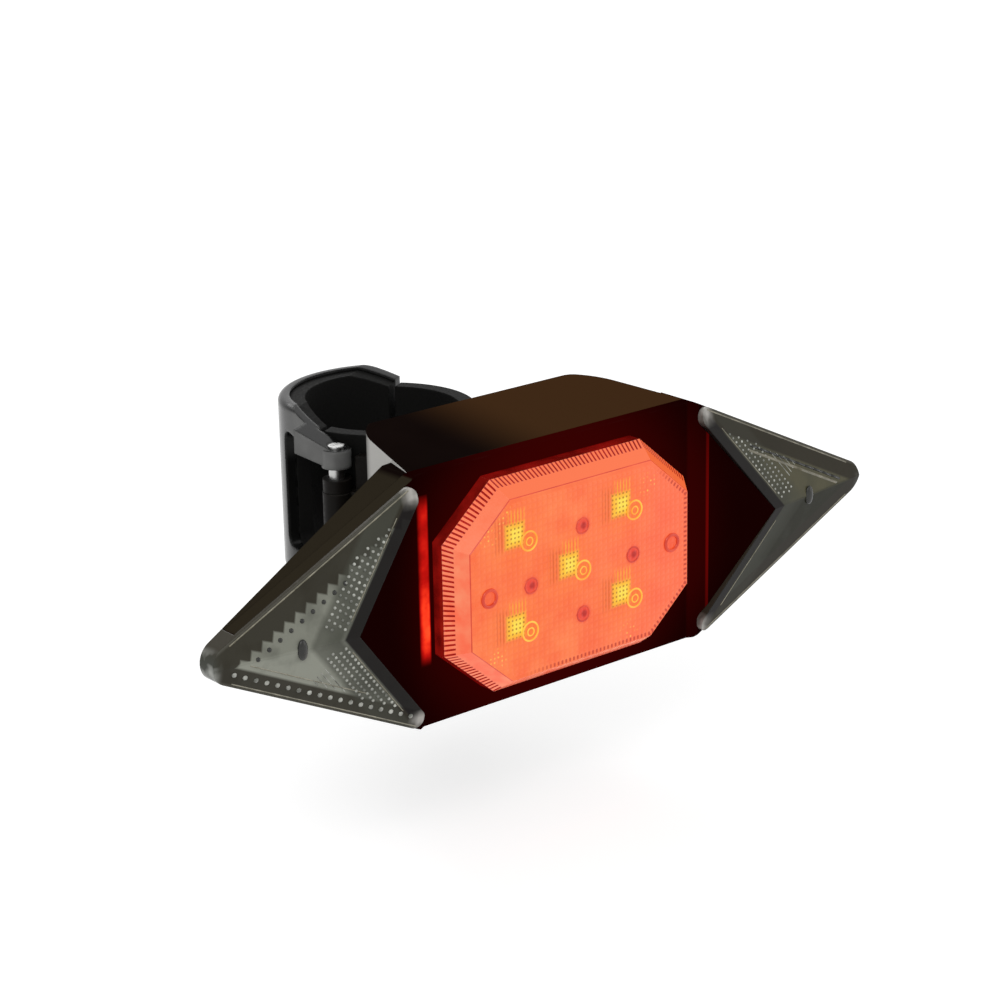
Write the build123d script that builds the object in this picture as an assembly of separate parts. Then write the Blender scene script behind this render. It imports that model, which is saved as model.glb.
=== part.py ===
from build123d import *
import os
from math import atan2, cos, radians, sin

# Bicycle turn signal light: a lit tail lens between two arrow lenses, on a hinged seatpost clamp.
# Frame: the origin is on the seatpost axis at the lamp's mid-height. X points right as seen from
# behind the bicycle, Y points forwards and Z up the post. All lengths are in millimetres.

# Seatpost clamp
post_r = 12.7
shim_wall = 2.5
band_wall = 1.9
saddle_pad_top = 15.0
strap_pad_top = 17.4
shim_drop = 14.0
strap_top = 18.0
strap_arm_top = 13.5
strap_slope_run = 9.9
strap_drop = 11.0
saddle_top = 12.0
parting_shift = 4.0
parting_half_gap = 0.5
hinge_turn = 27.9
hinge_pin_r = 1.3
hinge_pin_stand = 0.5
knuckle_r = 2.4
knuckle_play = 0.3
saddle_knuckle_top = 6.4
saddle_knuckle_drop = 5.7
spacer_r = 2.3
spacer_tall = 2.2
pivot_clear = 0.7
web_half = 1.9
window_top = 10.5
window_far_top = 14.2
window_slope_run = 11.8
window_drop = 6.0
window_turn = 107.0
window_corner = 2.0
pad_window_turn = 64.0
band_round = 1.0

# Clamp screw and its ears
screw_reach = 21.0
screw_level = 2.2
screw_r = 1.75
thread_clear = 0.25
insert_wall = 0.9
ear_half = 3.5
ear_reach = 25.5
ear_root = 14.5
ear_tall = 14.0
strap_ear_gap = 1.0
strap_ear_thick = 4.0
ear_hole_clear = 0.45
washer_r = 4.2
washer_thick = 0.8
washer_gap = 0.1
washer_bore_clear = 0.05
pin_clear = 0.05
thumb_r = 5.0
thumb_tall = 6.5
thumb_scallop_r = 0.8
thumb_scallops = 14
thumb_round = 0.6

# Slide between the saddle and the lamp
post_to_lamp = 7.6
rail_neck_half = 4.0
rail_head_half = 7.0
rail_head_thick = 1.4
rail_neck_tall = 1.6
rail_top = 11.0
rail_drop = 10.8
slot_clear = 0.1
slot_stop_gap = 0.2
slot_front_gap = 0.4
block_half = 11.0
block_top = 13.0
block_drop = 13.0
rail_screw_pitch = 11.0
rail_screw_r = 1.0
rail_screw_head_r = 1.9
rail_screw_head = 1.0
rail_screw_long = 8.0
rail_boss_r = 2.6
rail_boss_tall = 4.0

# Lamp body
body_depth = 23.1
body_side_margin = 3.7
body_lean = 6.0
body_tall_margin = 2.95
body_climb = 2.0
body_corner = 12.0
body_edge = 3.0
wall = 1.6
panel_wall = 1.6
wing_wall = 1.2
wing_proud = 1.5
bevel_inner = 1.1
bevel_outer = 2.2
bevel_rise = 0.2
wing_root_thick = 8.4
wing_tip_thick = 2.5
wing_span = 40.7
wing_tip_r = 3.0
wing_root_sunk = 5.0

# Tail lens and what lies behind it
lens_width = 48.6
lens_tall = 33.7
lens_cut_x = 9.3
lens_cut_z = 8.1
lens_proud = 2.0
plateau_rise = 3.6
plateau_inset = 2.5
lens_wall = 1.4
lens_flange = 0.7
lens_flange_thick = 1.0
lens_fit = 0.15
gasket_thick = 0.5
tray_clear = 0.2
tray_wall = 1.0
tray_floor = 0.8
tray_front_gap = 1.0
tray_boss_reach = 18.4
tray_boss_r = 1.6
tray_boss_wall = 0.5
tray_boss_tall = 1.9
led_reach_x = 10.6
led_reach_z = 7.2
led_side = 3.2
led_tall = 1.2
led_hole_clear = 0.25
aux_reach_x = 10.3
aux_reach_z = 7.1
aux_led_side = 1.6
aux_led_tall = 0.9
led_board_thick = 1.0
led_board_margin = 0.3
led_board_corner = 2.0
board_post_edge = 2.1
board_post_r = 1.5

# Arrow lenses and what lies behind them
notch_reach = 13.8
notch_margin = 2.8
cap_edge = 0.6
cap_rise = 4.2
cap_fit = 0.1
arm_round = 1.3
rim_width = 0.8
plug_deep = 0.8
plug_clear = 0.1
arrow_gasket_thick = 0.3
light_inset = 1.2
lens_nose = 8.3
arm_start = 0.4
arrow_board_thick = 0.8
arrow_board_clear = 0.3
arrow_board_past = 12.4
arrow_board_root = 3.5
arrow_led_side = 1.2
arrow_led_tall = 0.7
arrow_led_gap = 0.3
arrow_sheet_thick = 0.5
led_pitch_share = 0.1824
arrow_led_count = 5
arrow_screw_past = 9.2
arrow_led_past = 4.6
lead_past = 1.8

# Battery, control board and controls
battery_narrower = 3.0
battery_shorter = 7.0
battery_edge_share = 0.19
battery_rise = 1.0
pad_thick = 0.9
rear_pad_thick = 1.2
pad_side = 18.0
board_side_gap = 5.8
board_floor_gap = 4.3
board_thick = 1.2
board_to_back = 7.6
board_corner = 1.5
control_post_edge = 2.1
control_post_r = 1.9
chip_thick = 1.0
antenna_long = 9.0
antenna_tall = 2.0
switch_share = 0.2162
switch_side = 5.6
switch_deep = 3.5
switch_tall = 3.5
switch_plunger_r = 0.9
switch_plunger = 1.0
button_r = 3.6
button_stand = 0.6
button_fit = 0.08
button_flange = 0.8
button_flange_thick = 0.8
button_flange_gap = 0.05
button_stem_r = 1.0
button_stem = 0.7
button_travel = 0.6
button_stop_gap = 0.05
seal_width = 0.9
seal_thick = 0.8
socket_share = 0.2027
socket_half = 4.5
socket_thick = 3.2
socket_long = 6.8
socket_skin = 0.35
socket_tongue = 0.7
socket_sunk = 1.4
socket_hole_clear = 0.2
flap_half = 6.6
flap_side = 3.0
flap_thick = 1.3
flap_plug_half = 4.2
flap_plug_side = 1.4
flap_plug_deep = 1.1
flap_hinge_r = 0.65
flap_gap = 0.1
flap_eye_wall = 0.6
flap_pin_clear = 0.06
flap_lug_thick = 1.2

# Screws and wires
small_screw_r = 0.8
small_head_r = 1.4
small_head = 0.5
board_screw_long = 2.0
arrow_screw_long = 2.0
case_screw_root = 5.5
case_screw_z = 6.5
case_boss_r = 2.2
case_boss_tall = 2.2
case_screw_r = 1.0
case_head_r = 1.9
case_head = 1.2
case_screw_hold = 1.4
wire_r = 0.45
wire_pitch = 1.3
wire_gap = 0.1
wire_wall_gap = 0.25
wire_turn = 2.2

# Shared values
overrun = 2.0
edge_round = 0.5

# Sizes that follow from the sizes above
body_half = lens_width / 2 + body_side_margin
body_half_tall = lens_tall / 2 + body_tall_margin
body_back_half = body_half - body_lean
body_back_top = body_half_tall + body_climb
wing_point = body_half + wing_span
tall_cut = wing_point
notch_x = body_half + notch_reach
notch_half = body_half_tall - notch_margin
lens_nose_x = wing_point - lens_nose
led_board_width = lens_width + 2 * led_board_margin
led_board_tall = lens_tall + 2 * led_board_margin
board_post_x = led_board_width / 2 - board_post_edge
board_post_z = led_board_tall / 2 - board_post_edge
arrow_board_end = notch_x + arrow_board_past
arrow_board_start = body_half + arrow_board_root
arrow_screw_x = notch_x + arrow_screw_past
arrow_led_start = notch_x + arrow_led_past
arrow_led_pitch = led_pitch_share * notch_half
lead_end_x = notch_x + lead_past
board_width = lens_width - 2 * board_side_gap
board_tall = 2 * (body_half_tall - board_floor_gap)
battery_width = board_width - battery_narrower
battery_tall = board_tall - battery_shorter
switch_x = switch_share * board_width
socket_x = socket_share * board_width
control_post_x = board_width / 2 - control_post_edge
control_post_z = board_tall / 2 - control_post_edge
case_screw_x = body_half + case_screw_root

# Places that follow from the sizes above
shim_r = post_r + shim_wall
band_r = shim_r + band_wall
lamp_back = -(post_r + post_to_lamp)
panel_y = lamp_back - body_depth
seam_y = panel_y + panel_wall
wing_y = panel_y - wing_proud
rim_y = wing_y + cap_edge
lens_edge_y = panel_y - lens_proud
plateau_y = lens_edge_y - plateau_rise
flange_y = seam_y + gasket_thick
flange_back = flange_y + lens_flange_thick
led_board_y = flange_back + 2 * lens_fit
aux_led_front = led_board_y - aux_led_tall
plug_back = rim_y + plug_deep
ledge_y = plug_back + arrow_gasket_thick
arrow_board_y = plug_back + arrow_led_gap + arrow_led_tall
inner_back = lamp_back - wall
board_back = inner_back - board_to_back
board_front = board_back - board_thick
battery_y = led_board_y + led_board_thick + pad_thick
battery_back = board_front - rear_pad_thick
battery_edge = battery_edge_share * (battery_back - battery_y)
floor_z = -body_half_tall
far_front = wing_y - cap_rise - overrun
seat_shrink = rim_width - plug_clear
light_shrink = rim_width + light_inset
inner_floor = floor_z + wall

# The hinge lies across the post from the screw. The parting of the clamp runs along this line,
# u along it from the hinge to the screw and v square to it, away from the lamp.
line_u = Vector(cos(radians(hinge_turn)), sin(radians(hinge_turn)), 0)
line_v = Vector(-sin(radians(hinge_turn)), cos(radians(hinge_turn)), 0)
pivot_reach = shim_r + pivot_clear - knuckle_play + knuckle_r
pivot = line_u * -pivot_reach
clamp_frame = Plane((0, 0, 0), x_dir=line_u, z_dir=(0, 0, 1))
slope_plane = Plane((0, 0, 0), x_dir=line_v, z_dir=line_u)


def block(x0, x1, y0, y1, z0, z1):
    """A block between six coordinates."""
    return Pos(x0, y0, z0) * Box(x1 - x0, y1 - y0, z1 - z0, align=(Align.MIN, Align.MIN, Align.MIN))


def clamp_block(u0, u1, v0, v1, z0, z1):
    """A block between six coordinates of the clamp's own frame."""
    return clamp_frame * block(u0, u1, v0, v1, z0, z1)


def post_tube(inner, outer, low, high):
    """A tube round the seatpost axis."""
    ring = Cylinder(outer, high - low, align=(Align.CENTER, Align.CENTER, Align.MIN))
    bore = Cylinder(inner, high - low, align=(Align.CENTER, Align.CENTER, Align.MIN))
    return Pos(0, 0, low) * (ring - bore)


def rod_z(place, radius, low, high):
    """An upright cylinder."""
    rod = Cylinder(radius, high - low, align=(Align.CENTER, Align.CENTER, Align.MIN))
    return Pos(place.X, place.Y, low) * rod


def rod_y(x, z, radius, front, back):
    """A cylinder along Y between its front and back places."""
    disc = Plane((x, back, z), x_dir=(1, 0, 0), z_dir=(0, -1, 0)) * Circle(radius)
    return extrude(disc, back - front)


def facing_plane(y):
    """A plane seen from behind the bicycle, with X to the right and Z up."""
    return Plane((0, y, 0), x_dir=(1, 0, 0), z_dir=(0, -1, 0))


def slab(face, front, back):
    """A face drawn in X and Z, made solid between its front and back places along Y."""
    return extrude(facing_plane(back) * face, back - front)


def standing(face, low, high):
    """A face drawn in X and Y, made solid between two heights."""
    return extrude(Pos(0, 0, low) * face, high - low)


def both_sides(shape):
    """A shape and its mirror image across the lamp's middle."""
    return [shape, mirror(shape, about=Plane.YZ)]


def save(name, shape):
    """Write one sub-part to its STEP file."""
    os.makedirs("parts", exist_ok=True)
    export_step(shape, "parts/" + name + ".step")


def body_width_at(y):
    """Half the body's width at a depth: its side walls lean in towards the back."""
    share = (y - panel_y) / body_depth
    return body_half + (body_back_half - body_half) * share


def body_top_at(y):
    """Height of the body's top at a depth: it climbs a little towards the back."""
    share = (y - panel_y) / body_depth
    return body_half_tall + (body_back_top - body_half_tall) * share


def body_solid(front, inset):
    """The centre body from a front place to its back, drawn smaller by the inset."""
    back = lamp_back - inset
    half_front = body_width_at(front) - inset
    half_back = body_width_at(back) - inset
    corners = [(-half_front, front), (half_front, front), (half_back, back), (-half_back, back)]
    plan = Polygon(*corners, align=None)
    plan = fillet(plan.vertices().sort_by(Axis.Y)[-2:], body_corner - inset)
    top_front = body_top_at(front) - inset
    top_back = body_top_at(back) - inset
    low = floor_z + inset
    side = Polygon((front, low), (back, low), (back, top_back), (front, top_front), align=None)
    side = fillet(side.vertices().sort_by(Axis.X)[-2:], body_edge - inset)
    tall = extrude(plan, tall_cut, both=True)
    wide = extrude(Plane.YZ * side, tall_cut, both=True)
    return tall & wide


def octagon(grow=0):
    """Outline of the tail lens: a rectangle with cut corners, drawn larger all round by a value."""
    half_w = lens_width / 2
    half_t = lens_tall / 2
    flat_w = half_w - lens_cut_x
    flat_t = half_t - lens_cut_z
    right = [(flat_w, -half_t), (half_w, -flat_t), (half_w, flat_t), (flat_w, half_t)]
    left = [(-x, z) for x, z in reversed(right)]
    face = Polygon(*right, *left, align=None)
    return offset(face, grow, kind=Kind.INTERSECTION) if grow else face


def wing_outline(grow=0):
    """The right wing seen from behind: a triangle with a rounded tip and a root inside the body."""
    root = body_half - wing_root_sunk
    face = Polygon(
        (root, -body_half_tall),
        (body_half, -body_half_tall),
        (wing_point, 0),
        (body_half, body_half_tall),
        (root, body_half_tall),
        align=None,
    )
    face = fillet(face.vertices().sort_by(Axis.X)[-1:], wing_tip_r)
    return offset(face, grow, kind=Kind.INTERSECTION) if grow else face


def wing_back_at(x):
    """Place of the wing's sloped back at a distance from the middle."""
    share = (x - body_half) / (wing_point - body_half)
    return wing_y + wing_root_thick + (wing_tip_thick - wing_root_thick) * share


def wing_wedge(front, lift):
    """The wing's space in plan, from a front place to its sloped back, lifted off the back."""
    root = body_half - wing_root_sunk
    plan = Polygon(
        (root, front),
        (wing_point, front),
        (wing_point, wing_back_at(wing_point) - lift),
        (root, wing_back_at(root) - lift),
        align=None,
    )
    return extrude(plan, tall_cut, both=True)


def island(grow=0):
    """The black part of the wing's face: the notch triangle and the strip beside the body."""
    strip_end = body_half + arm_start
    slope = notch_half / (notch_x - body_half)
    start = body_half - wing_root_sunk - overrun
    start_half = notch_half + slope * (body_half - start)
    triangle = Polygon((start, -start_half), (notch_x, 0), (start, start_half), align=None)
    strip = Pos((start + strip_end) / 2, 0) * Rectangle(strip_end - start, tall_cut)
    face = triangle + strip
    return offset(face, grow, kind=Kind.INTERSECTION) if grow else face


def arrow_face(shrink, island_clear):
    """The arrow: the wing's outline drawn smaller, less the island drawn larger."""
    return wing_outline(-shrink) - island(island_clear)


def cap_facets():
    """The space under the arrow's two sloped facets, which rise from its edges to the notch."""
    edge_angle = atan2(body_half_tall, wing_point - body_half)
    rise_run = (wing_point - notch_x) * sin(edge_angle)
    slope = (cap_rise - cap_edge) / rise_run
    size = 2 * tall_cut
    spaces = []
    for side in (1, -1):
        across = Vector(sin(edge_angle), 0, side * cos(edge_angle))
        normal = Vector(across.X * slope, -1, across.Z * slope).normalized()
        along = Vector(across.Z, 0, -across.X)
        plane = Plane(Vector(wing_point, wing_y, 0), x_dir=along, z_dir=normal)
        spaces.append(extrude(plane * Rectangle(size, size), -tall_cut))
    return spaces[0] & spaces[1]


def arrow_cap():
    """The arrow lens above the rim: the full outline up to the sloped facets."""
    face = arrow_face(0, cap_fit)
    face = fillet(face.vertices().sort_by(Axis.X)[:4], arm_round)
    return slab(face, far_front, rim_y) & cap_facets()


def front_cover():
    """The black face frame: centre panel with the tail window, wings with seats for the arrows."""
    panel = body_solid(panel_y, 0) & block(-body_half, body_half, panel_y, seam_y, -tall_cut, tall_cut)
    cover = panel
    for wing in both_sides(cover_wing()):
        cover = cover + wing
    cover = cover - slab(octagon(lens_fit), panel_y - overrun, seam_y + overrun)
    for x in (-board_post_x, board_post_x):
        for z in (-board_post_z, board_post_z):
            cover = cover + rod_y(x, z, board_post_r, seam_y, led_board_y)
            hole_front = led_board_y + led_board_thick - board_screw_long
            cover = cover - rod_y(x, z, small_screw_r, hole_front, led_board_y)
    for x in (-case_screw_x, case_screw_x):
        for z in (-case_screw_z, case_screw_z):
            boss_back = seam_y + case_boss_tall
            cover = cover + rod_y(x, z, case_boss_r, seam_y, boss_back)
            cover = cover - rod_y(x, z, case_screw_r, seam_y - panel_wall, boss_back)
    return cover


def cover_wing():
    """The right wing of the face frame."""
    rim = slab(wing_outline(), rim_y, seam_y)
    raised = slab(wing_outline() & island(), far_front, seam_y) & cap_facets()
    wing = rim + raised - notch_ramp()
    wing = wing & wing_wedge(far_front, 0)
    wing = wing - slab(arrow_face(seat_shrink, cap_fit + seat_shrink), rim_y - overrun, ledge_y)
    wing = wing - slab(arrow_face(light_shrink, light_shrink), ledge_y - overrun, seam_y + overrun)
    return wing - block(lens_nose_x, wing_point, far_front, seam_y + overrun, -tall_cut, tall_cut)


def notch_ramp():
    """The space over the wing's black face: a bevel beside the body, then a ramp up to the notch."""
    low = body_half - wing_root_sunk - overrun
    plan = Polygon(
        (low, panel_y),
        (body_half - bevel_inner, panel_y),
        (body_half + bevel_outer, wing_y - bevel_rise),
        (notch_x, wing_y + cap_edge - cap_rise),
        (notch_x, far_front),
        (low, far_front),
        align=None,
    )
    return extrude(plan, tall_cut, both=True)


def rear_housing():
    """The rear shell: the hollow centre body and the two hollow wings, with bosses and openings."""
    shell = body_solid(seam_y, 0)
    for wing in both_sides(slab(wing_outline(), seam_y, lamp_back) & wing_wedge(seam_y, 0)):
        shell = shell + wing
    shell = shell - body_solid(seam_y, wall)
    hollow = slab(wing_outline(-wing_wall), seam_y, lamp_back) & wing_wedge(seam_y, wing_wall)
    hollow = hollow & slab(wing_outline(), seam_y - overrun, lamp_back)
    for wing in both_sides(hollow):
        shell = shell - wing
    nose = block(lens_nose_x, wing_point, seam_y - overrun, lamp_back, -tall_cut, tall_cut)
    for side in both_sides(nose):
        shell = shell - side
    shell = housing_bosses(shell)
    return housing_openings(shell)


def housing_bosses(shell):
    """Posts for the boards, the rail and the case screws, joined to the rear shell."""
    core = body_solid(seam_y, wall / 2)
    for x in (-control_post_x, control_post_x):
        for z in (-control_post_z, control_post_z):
            shell = shell + (rod_y(x, z, control_post_r, board_back, inner_back + wall / 2) & core)
            shell = shell - rod_y(x, z, small_screw_r, board_back, board_back + board_screw_long)
    for z in rail_screw_places():
        boss_front = inner_back - rail_boss_tall
        shell = shell + rod_y(0, z, rail_boss_r, boss_front, inner_back + wall / 2)
        shell = shell - rod_y(0, z, rail_screw_r, boss_front, lamp_back + overrun)
    case_seat = seam_y + case_boss_tall
    for x in (-case_screw_x, case_screw_x):
        for z in (-case_screw_z, case_screw_z):
            back = wing_back_at(case_screw_x)
            shell = shell + rod_y(x, z, case_boss_r, case_seat, back - wing_wall / 2)
            shell = shell - rod_y(x, z, case_screw_r, case_seat - overrun, back + overrun)
            shell = shell - rod_y(x, z, case_head_r, case_seat + case_screw_hold, back + overrun)
    for x in (-arrow_screw_x, arrow_screw_x):
        seat = arrow_board_y + arrow_board_thick
        back = wing_back_at(arrow_screw_x)
        shell = shell + rod_y(x, 0, board_post_r, seat, back - wing_wall / 2)
        shell = shell - rod_y(x, 0, small_screw_r, seat, seat + arrow_screw_long - arrow_board_thick)
    return shell


def housing_openings(shell):
    """The button's hole with its seal seat, and the charge socket's slot, in the floor."""
    centre = button_centre()
    shell = shell - rod_z(centre, button_r + button_fit, floor_z - overrun, inner_floor + overrun)
    shell = shell - rod_z(centre, button_r + button_fit + seal_width, floor_z - overrun, floor_z + seal_thick)
    half = socket_half + socket_hole_clear
    front = board_back - socket_hole_clear
    back = board_back + socket_thick + socket_hole_clear
    low = floor_z - overrun
    shell = shell - block(socket_x - half, socket_x + half, front, back, low, inner_floor + overrun)
    return shell + flap_lugs()


def button_centre():
    """Place of the power button's axis, under the switch."""
    return Vector(-switch_x, board_back + switch_deep / 2, 0)


def flap_pivot():
    """Place of the socket cover's hinge axis, beside the socket and below the floor."""
    x = socket_x + flap_half + flap_hinge_r + flap_eye_wall
    return Vector(x, board_back + socket_thick / 2, floor_z - flap_gap - flap_hinge_r - flap_eye_wall)


def flap_lugs():
    """Two lugs under the floor with the socket cover's hinge rod between them."""
    place = flap_pivot()
    outer = flap_side + flap_gap + flap_lug_thick
    inner = flap_side + flap_gap
    reach = flap_hinge_r + flap_eye_wall
    lugs = []
    for low, high in ((-outer, -inner), (inner, outer)):
        lug = block(place.X - reach, place.X + reach, place.Y + low, place.Y + high, place.Z, floor_z)
        lugs.append(lug + rod_y_at(place, reach, place.Y + low, place.Y + high))
    rod = rod_y_at(place, flap_hinge_r, place.Y - outer, place.Y + outer)
    return lugs[0] + lugs[1] + rod


def rod_y_at(place, radius, front, back):
    """A cylinder along Y at a place's X and Z."""
    return rod_y(place.X, place.Z, radius, front, back)


def tail_lens():
    """The octagonal lens: flange behind the panel, sloped border and a flat plateau."""
    outline = slab(octagon(), lens_edge_y, flange_back)
    flange = slab(octagon(lens_flange), flange_y, flange_back)
    plane_low = facing_plane(lens_edge_y)
    plane_high = facing_plane(plateau_y)
    crown = loft([plane_low * octagon(), plane_high * octagon(-plateau_inset)], ruled=True)
    lens = outline + flange + crown
    lens = lens - slab(octagon(-lens_wall), lens_edge_y + lens_wall / 2, flange_back + overrun)
    return lens - slab(octagon(-plateau_inset), plateau_y + lens_wall, flange_back)


def tail_gasket():
    """The rubber ring between the lens's flange and the panel."""
    return slab(octagon(lens_flange) - octagon(lens_fit), seam_y, flange_y)


def led_places():
    """The five main places: the middle and the four around it."""
    corners = [(x, z) for x in (-led_reach_x, led_reach_x) for z in (-led_reach_z, led_reach_z)]
    return [(0, 0)] + corners


def aux_places():
    """The four places between the main ones."""
    return [(0, aux_reach_z), (0, -aux_reach_z), (-aux_reach_x, 0), (aux_reach_x, 0)]


def square_holes(places, side, front, back):
    """Square columns along Y at the given places."""
    return [slab(Pos(x, z) * Rectangle(side, side), front, back) for x, z in places]


def tail_reflector():
    """The tray behind the lens: a floor with light holes, a raised rim and two boss rings."""
    shrink = lens_wall + tray_clear
    front = lens_edge_y + lens_wall + tray_front_gap
    tray = slab(octagon(-shrink), front, led_board_y)
    tray = tray - slab(octagon(-shrink - tray_wall), front - overrun, led_board_y - tray_floor)
    for x in (-tray_boss_reach, tray_boss_reach):
        top = led_board_y - tray_floor - tray_boss_tall
        ring = rod_y(x, 0, tray_boss_r, top, led_board_y)
        tray = tray + (ring - rod_y(x, 0, tray_boss_r - tray_boss_wall, top, led_board_y - tray_floor))
    back = led_board_y + overrun
    for places, side in ((led_places(), led_side), (aux_places(), aux_led_side)):
        for hole in square_holes(places, side + 2 * led_hole_clear, front - overrun, back):
            tray = tray - hole
    return tray


def led_board():
    """The board that closes the tail lens's back."""
    face = RectangleRounded(led_board_width, led_board_tall, led_board_corner)
    board = slab(face, led_board_y, led_board_y + led_board_thick)
    for x in (-board_post_x, board_post_x):
        for z in (-board_post_z, board_post_z):
            back = led_board_y + led_board_thick + overrun
            board = board - rod_y(x, z, small_screw_r, led_board_y - overrun, back)
    return board


def arrow_lens():
    """The right arrow lens: faceted cap over the rim, a plug in the seat and a clear nose."""
    cap = arrow_cap()
    plug = slab(arrow_face(rim_width, cap_fit + rim_width), rim_y, plug_back)
    nose = slab(wing_outline(), rim_y, lamp_back) & wing_wedge(rim_y, 0)
    nose = nose & block(lens_nose_x + cap_fit, wing_point, rim_y, lamp_back, -tall_cut, tall_cut)
    lens = cap + plug + nose
    back = plug_back + overrun
    hollow = slab(arrow_face(light_shrink, light_shrink), wing_y, back)
    return lens - (hollow & block(body_half, lens_nose_x - rim_width, wing_y, back, -tall_cut, tall_cut))


def arrow_gasket():
    """The ring on the right arrow's ledge."""
    face = arrow_face(rim_width, cap_fit + rim_width) - arrow_face(light_shrink, light_shrink)
    ring = slab(face, plug_back, ledge_y)
    limit = lens_nose_x - plug_clear
    return ring & block(body_half, limit, plug_back, ledge_y, -tall_cut, tall_cut)


def arrow_board_face():
    """Outline of the right arrow board, inside the light window."""
    shrink = light_shrink + arrow_board_clear
    span = arrow_board_end - arrow_board_start
    limit = Pos((arrow_board_start + arrow_board_end) / 2, 0) * Rectangle(span, tall_cut)
    return arrow_face(shrink, shrink) & limit


def arrow_led_places():
    """Places of the right arrow's lights, in two rows beside the notch."""
    edge_angle = atan2(body_half_tall, wing_point - body_half)
    notch_angle = atan2(notch_half, notch_x - body_half)
    start_x = arrow_led_start
    start_z = arrow_led_pitch
    lean = (edge_angle + notch_angle) / 2
    places = []
    for step in range(arrow_led_count):
        x = start_x - step * arrow_led_pitch * cos(lean)
        z = start_z + step * arrow_led_pitch * sin(lean)
        places += [(x, z), (x, -z)]
    return places


def arrow_board():
    """The right arrow board."""
    back = arrow_board_y + arrow_board_thick
    board = slab(arrow_board_face(), arrow_board_y, back)
    return board - rod_y(arrow_screw_x, 0, small_screw_r, arrow_board_y - overrun, back + overrun)


def arrow_reflector():
    """The white sheet on the right arrow board, with a hole for each light and the screw."""
    front = arrow_board_y - arrow_sheet_thick
    back = arrow_board_y + overrun
    sheet = slab(arrow_board_face(), front, arrow_board_y)
    sheet = sheet - rod_y(arrow_screw_x, 0, small_head_r + led_hole_clear, front - overrun, back)
    for hole in square_holes(arrow_led_places(), arrow_led_side + led_hole_clear, front - overrun, back):
        sheet = sheet - hole
    return sheet


def arrow_leds():
    """The right arrow's lights."""
    return square_holes(arrow_led_places(), arrow_led_side, arrow_board_y - arrow_led_tall, arrow_board_y)


def battery():
    """The flat lithium cell."""
    cell = slab(Pos(0, battery_rise) * Rectangle(battery_width, battery_tall), battery_y, battery_back)
    return fillet(cell.edges().filter_by(Axis.Z), battery_edge)


def battery_pads():
    """Foam on both faces of the cell."""
    face = Pos(0, battery_rise) * Rectangle(pad_side, pad_side)
    fore = slab(face, battery_y - pad_thick, battery_y)
    rear = slab(face, battery_back, board_front)
    return [fore, rear]


def control_board():
    """The control board on its four posts."""
    board = slab(RectangleRounded(board_width, board_tall, board_corner), board_front, board_back)
    for x in (-control_post_x, control_post_x):
        for z in (-control_post_z, control_post_z):
            board = board - rod_y(x, z, small_screw_r, board_front - overrun, board_back + overrun)
    return board


def control_chips():
    """Controller, radio, charger and lamp driver on the board's back."""
    chip_table_shares = [(-0.2, 0.12, 0.16), (0.18, 0.14, 0.13), (-0.3, -0.08, 0.1), (0.26, -0.1, 0.11)]
    chips = []
    for x_share, z_share, side_share in chip_table_shares:
        side = side_share * board_width
        face = Pos(x_share * board_width, z_share * board_tall) * Rectangle(side, side)
        chips.append(slab(face, board_back, board_back + chip_thick))
    return chips


def antenna():
    """The chip antenna at the board's top edge."""
    z = board_tall / 2 - antenna_tall
    return slab(Pos(0, z) * Rectangle(antenna_long, antenna_tall), board_back, board_back + chip_thick)


def switch_floor():
    """Height of the switch's underside, set by the pressed button."""
    flange_top = inner_floor + button_flange_gap + button_flange_thick
    return flange_top + button_stem + button_travel + button_stop_gap + switch_plunger


def tact_switch():
    """The switch on the control board with its plunger pointing down."""
    centre = button_centre()
    low = switch_floor()
    half = switch_side / 2
    back = board_back + switch_deep
    body = block(centre.X - half, centre.X + half, board_back, back, low, low + switch_tall)
    return body + rod_z(centre, switch_plunger_r, low - switch_plunger, low)


def power_button():
    """The button: cap through the floor, flange inside and a stem towards the switch."""
    centre = button_centre()
    flange_low = inner_floor + button_flange_gap
    flange_top = flange_low + button_flange_thick
    cap = rod_z(centre, button_r, floor_z - button_stand, flange_low)
    cap = fillet(cap.edges().sort_by(Axis.Z)[0], edge_round)
    flange = rod_z(centre, button_r + button_flange, flange_low, flange_top)
    return cap + flange + rod_z(centre, button_stem_r, flange_top, flange_top + button_stem)


def button_seal():
    """The ring round the button in the floor."""
    centre = button_centre()
    inner = button_r + button_fit
    ring = rod_z(centre, inner + seal_width, floor_z, floor_z + seal_thick)
    return ring - rod_z(centre, inner, floor_z - overrun, floor_z + seal_thick + overrun)


def charge_socket():
    """The charge socket: a metal shell with its mouth down and a tongue inside."""
    low = floor_z + socket_sunk
    high = low + socket_long
    back = board_back + socket_thick
    shell = block(socket_x - socket_half, socket_x + socket_half, board_back, back, low, high)
    shell = fillet(shell.edges().filter_by(Axis.Z), socket_thick / 4)
    mouth = block(
        socket_x - socket_half + socket_skin,
        socket_x + socket_half - socket_skin,
        board_back + socket_skin,
        back - socket_skin,
        low - overrun,
        high - overrun,
    )
    middle = (board_back + back) / 2
    tongue_half = socket_half - socket_skin - socket_tongue
    tongue = block(
        socket_x - tongue_half,
        socket_x + tongue_half,
        middle - socket_tongue / 2,
        middle + socket_tongue / 2,
        low + socket_tongue,
        high - overrun,
    )
    return shell - mouth + tongue


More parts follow.
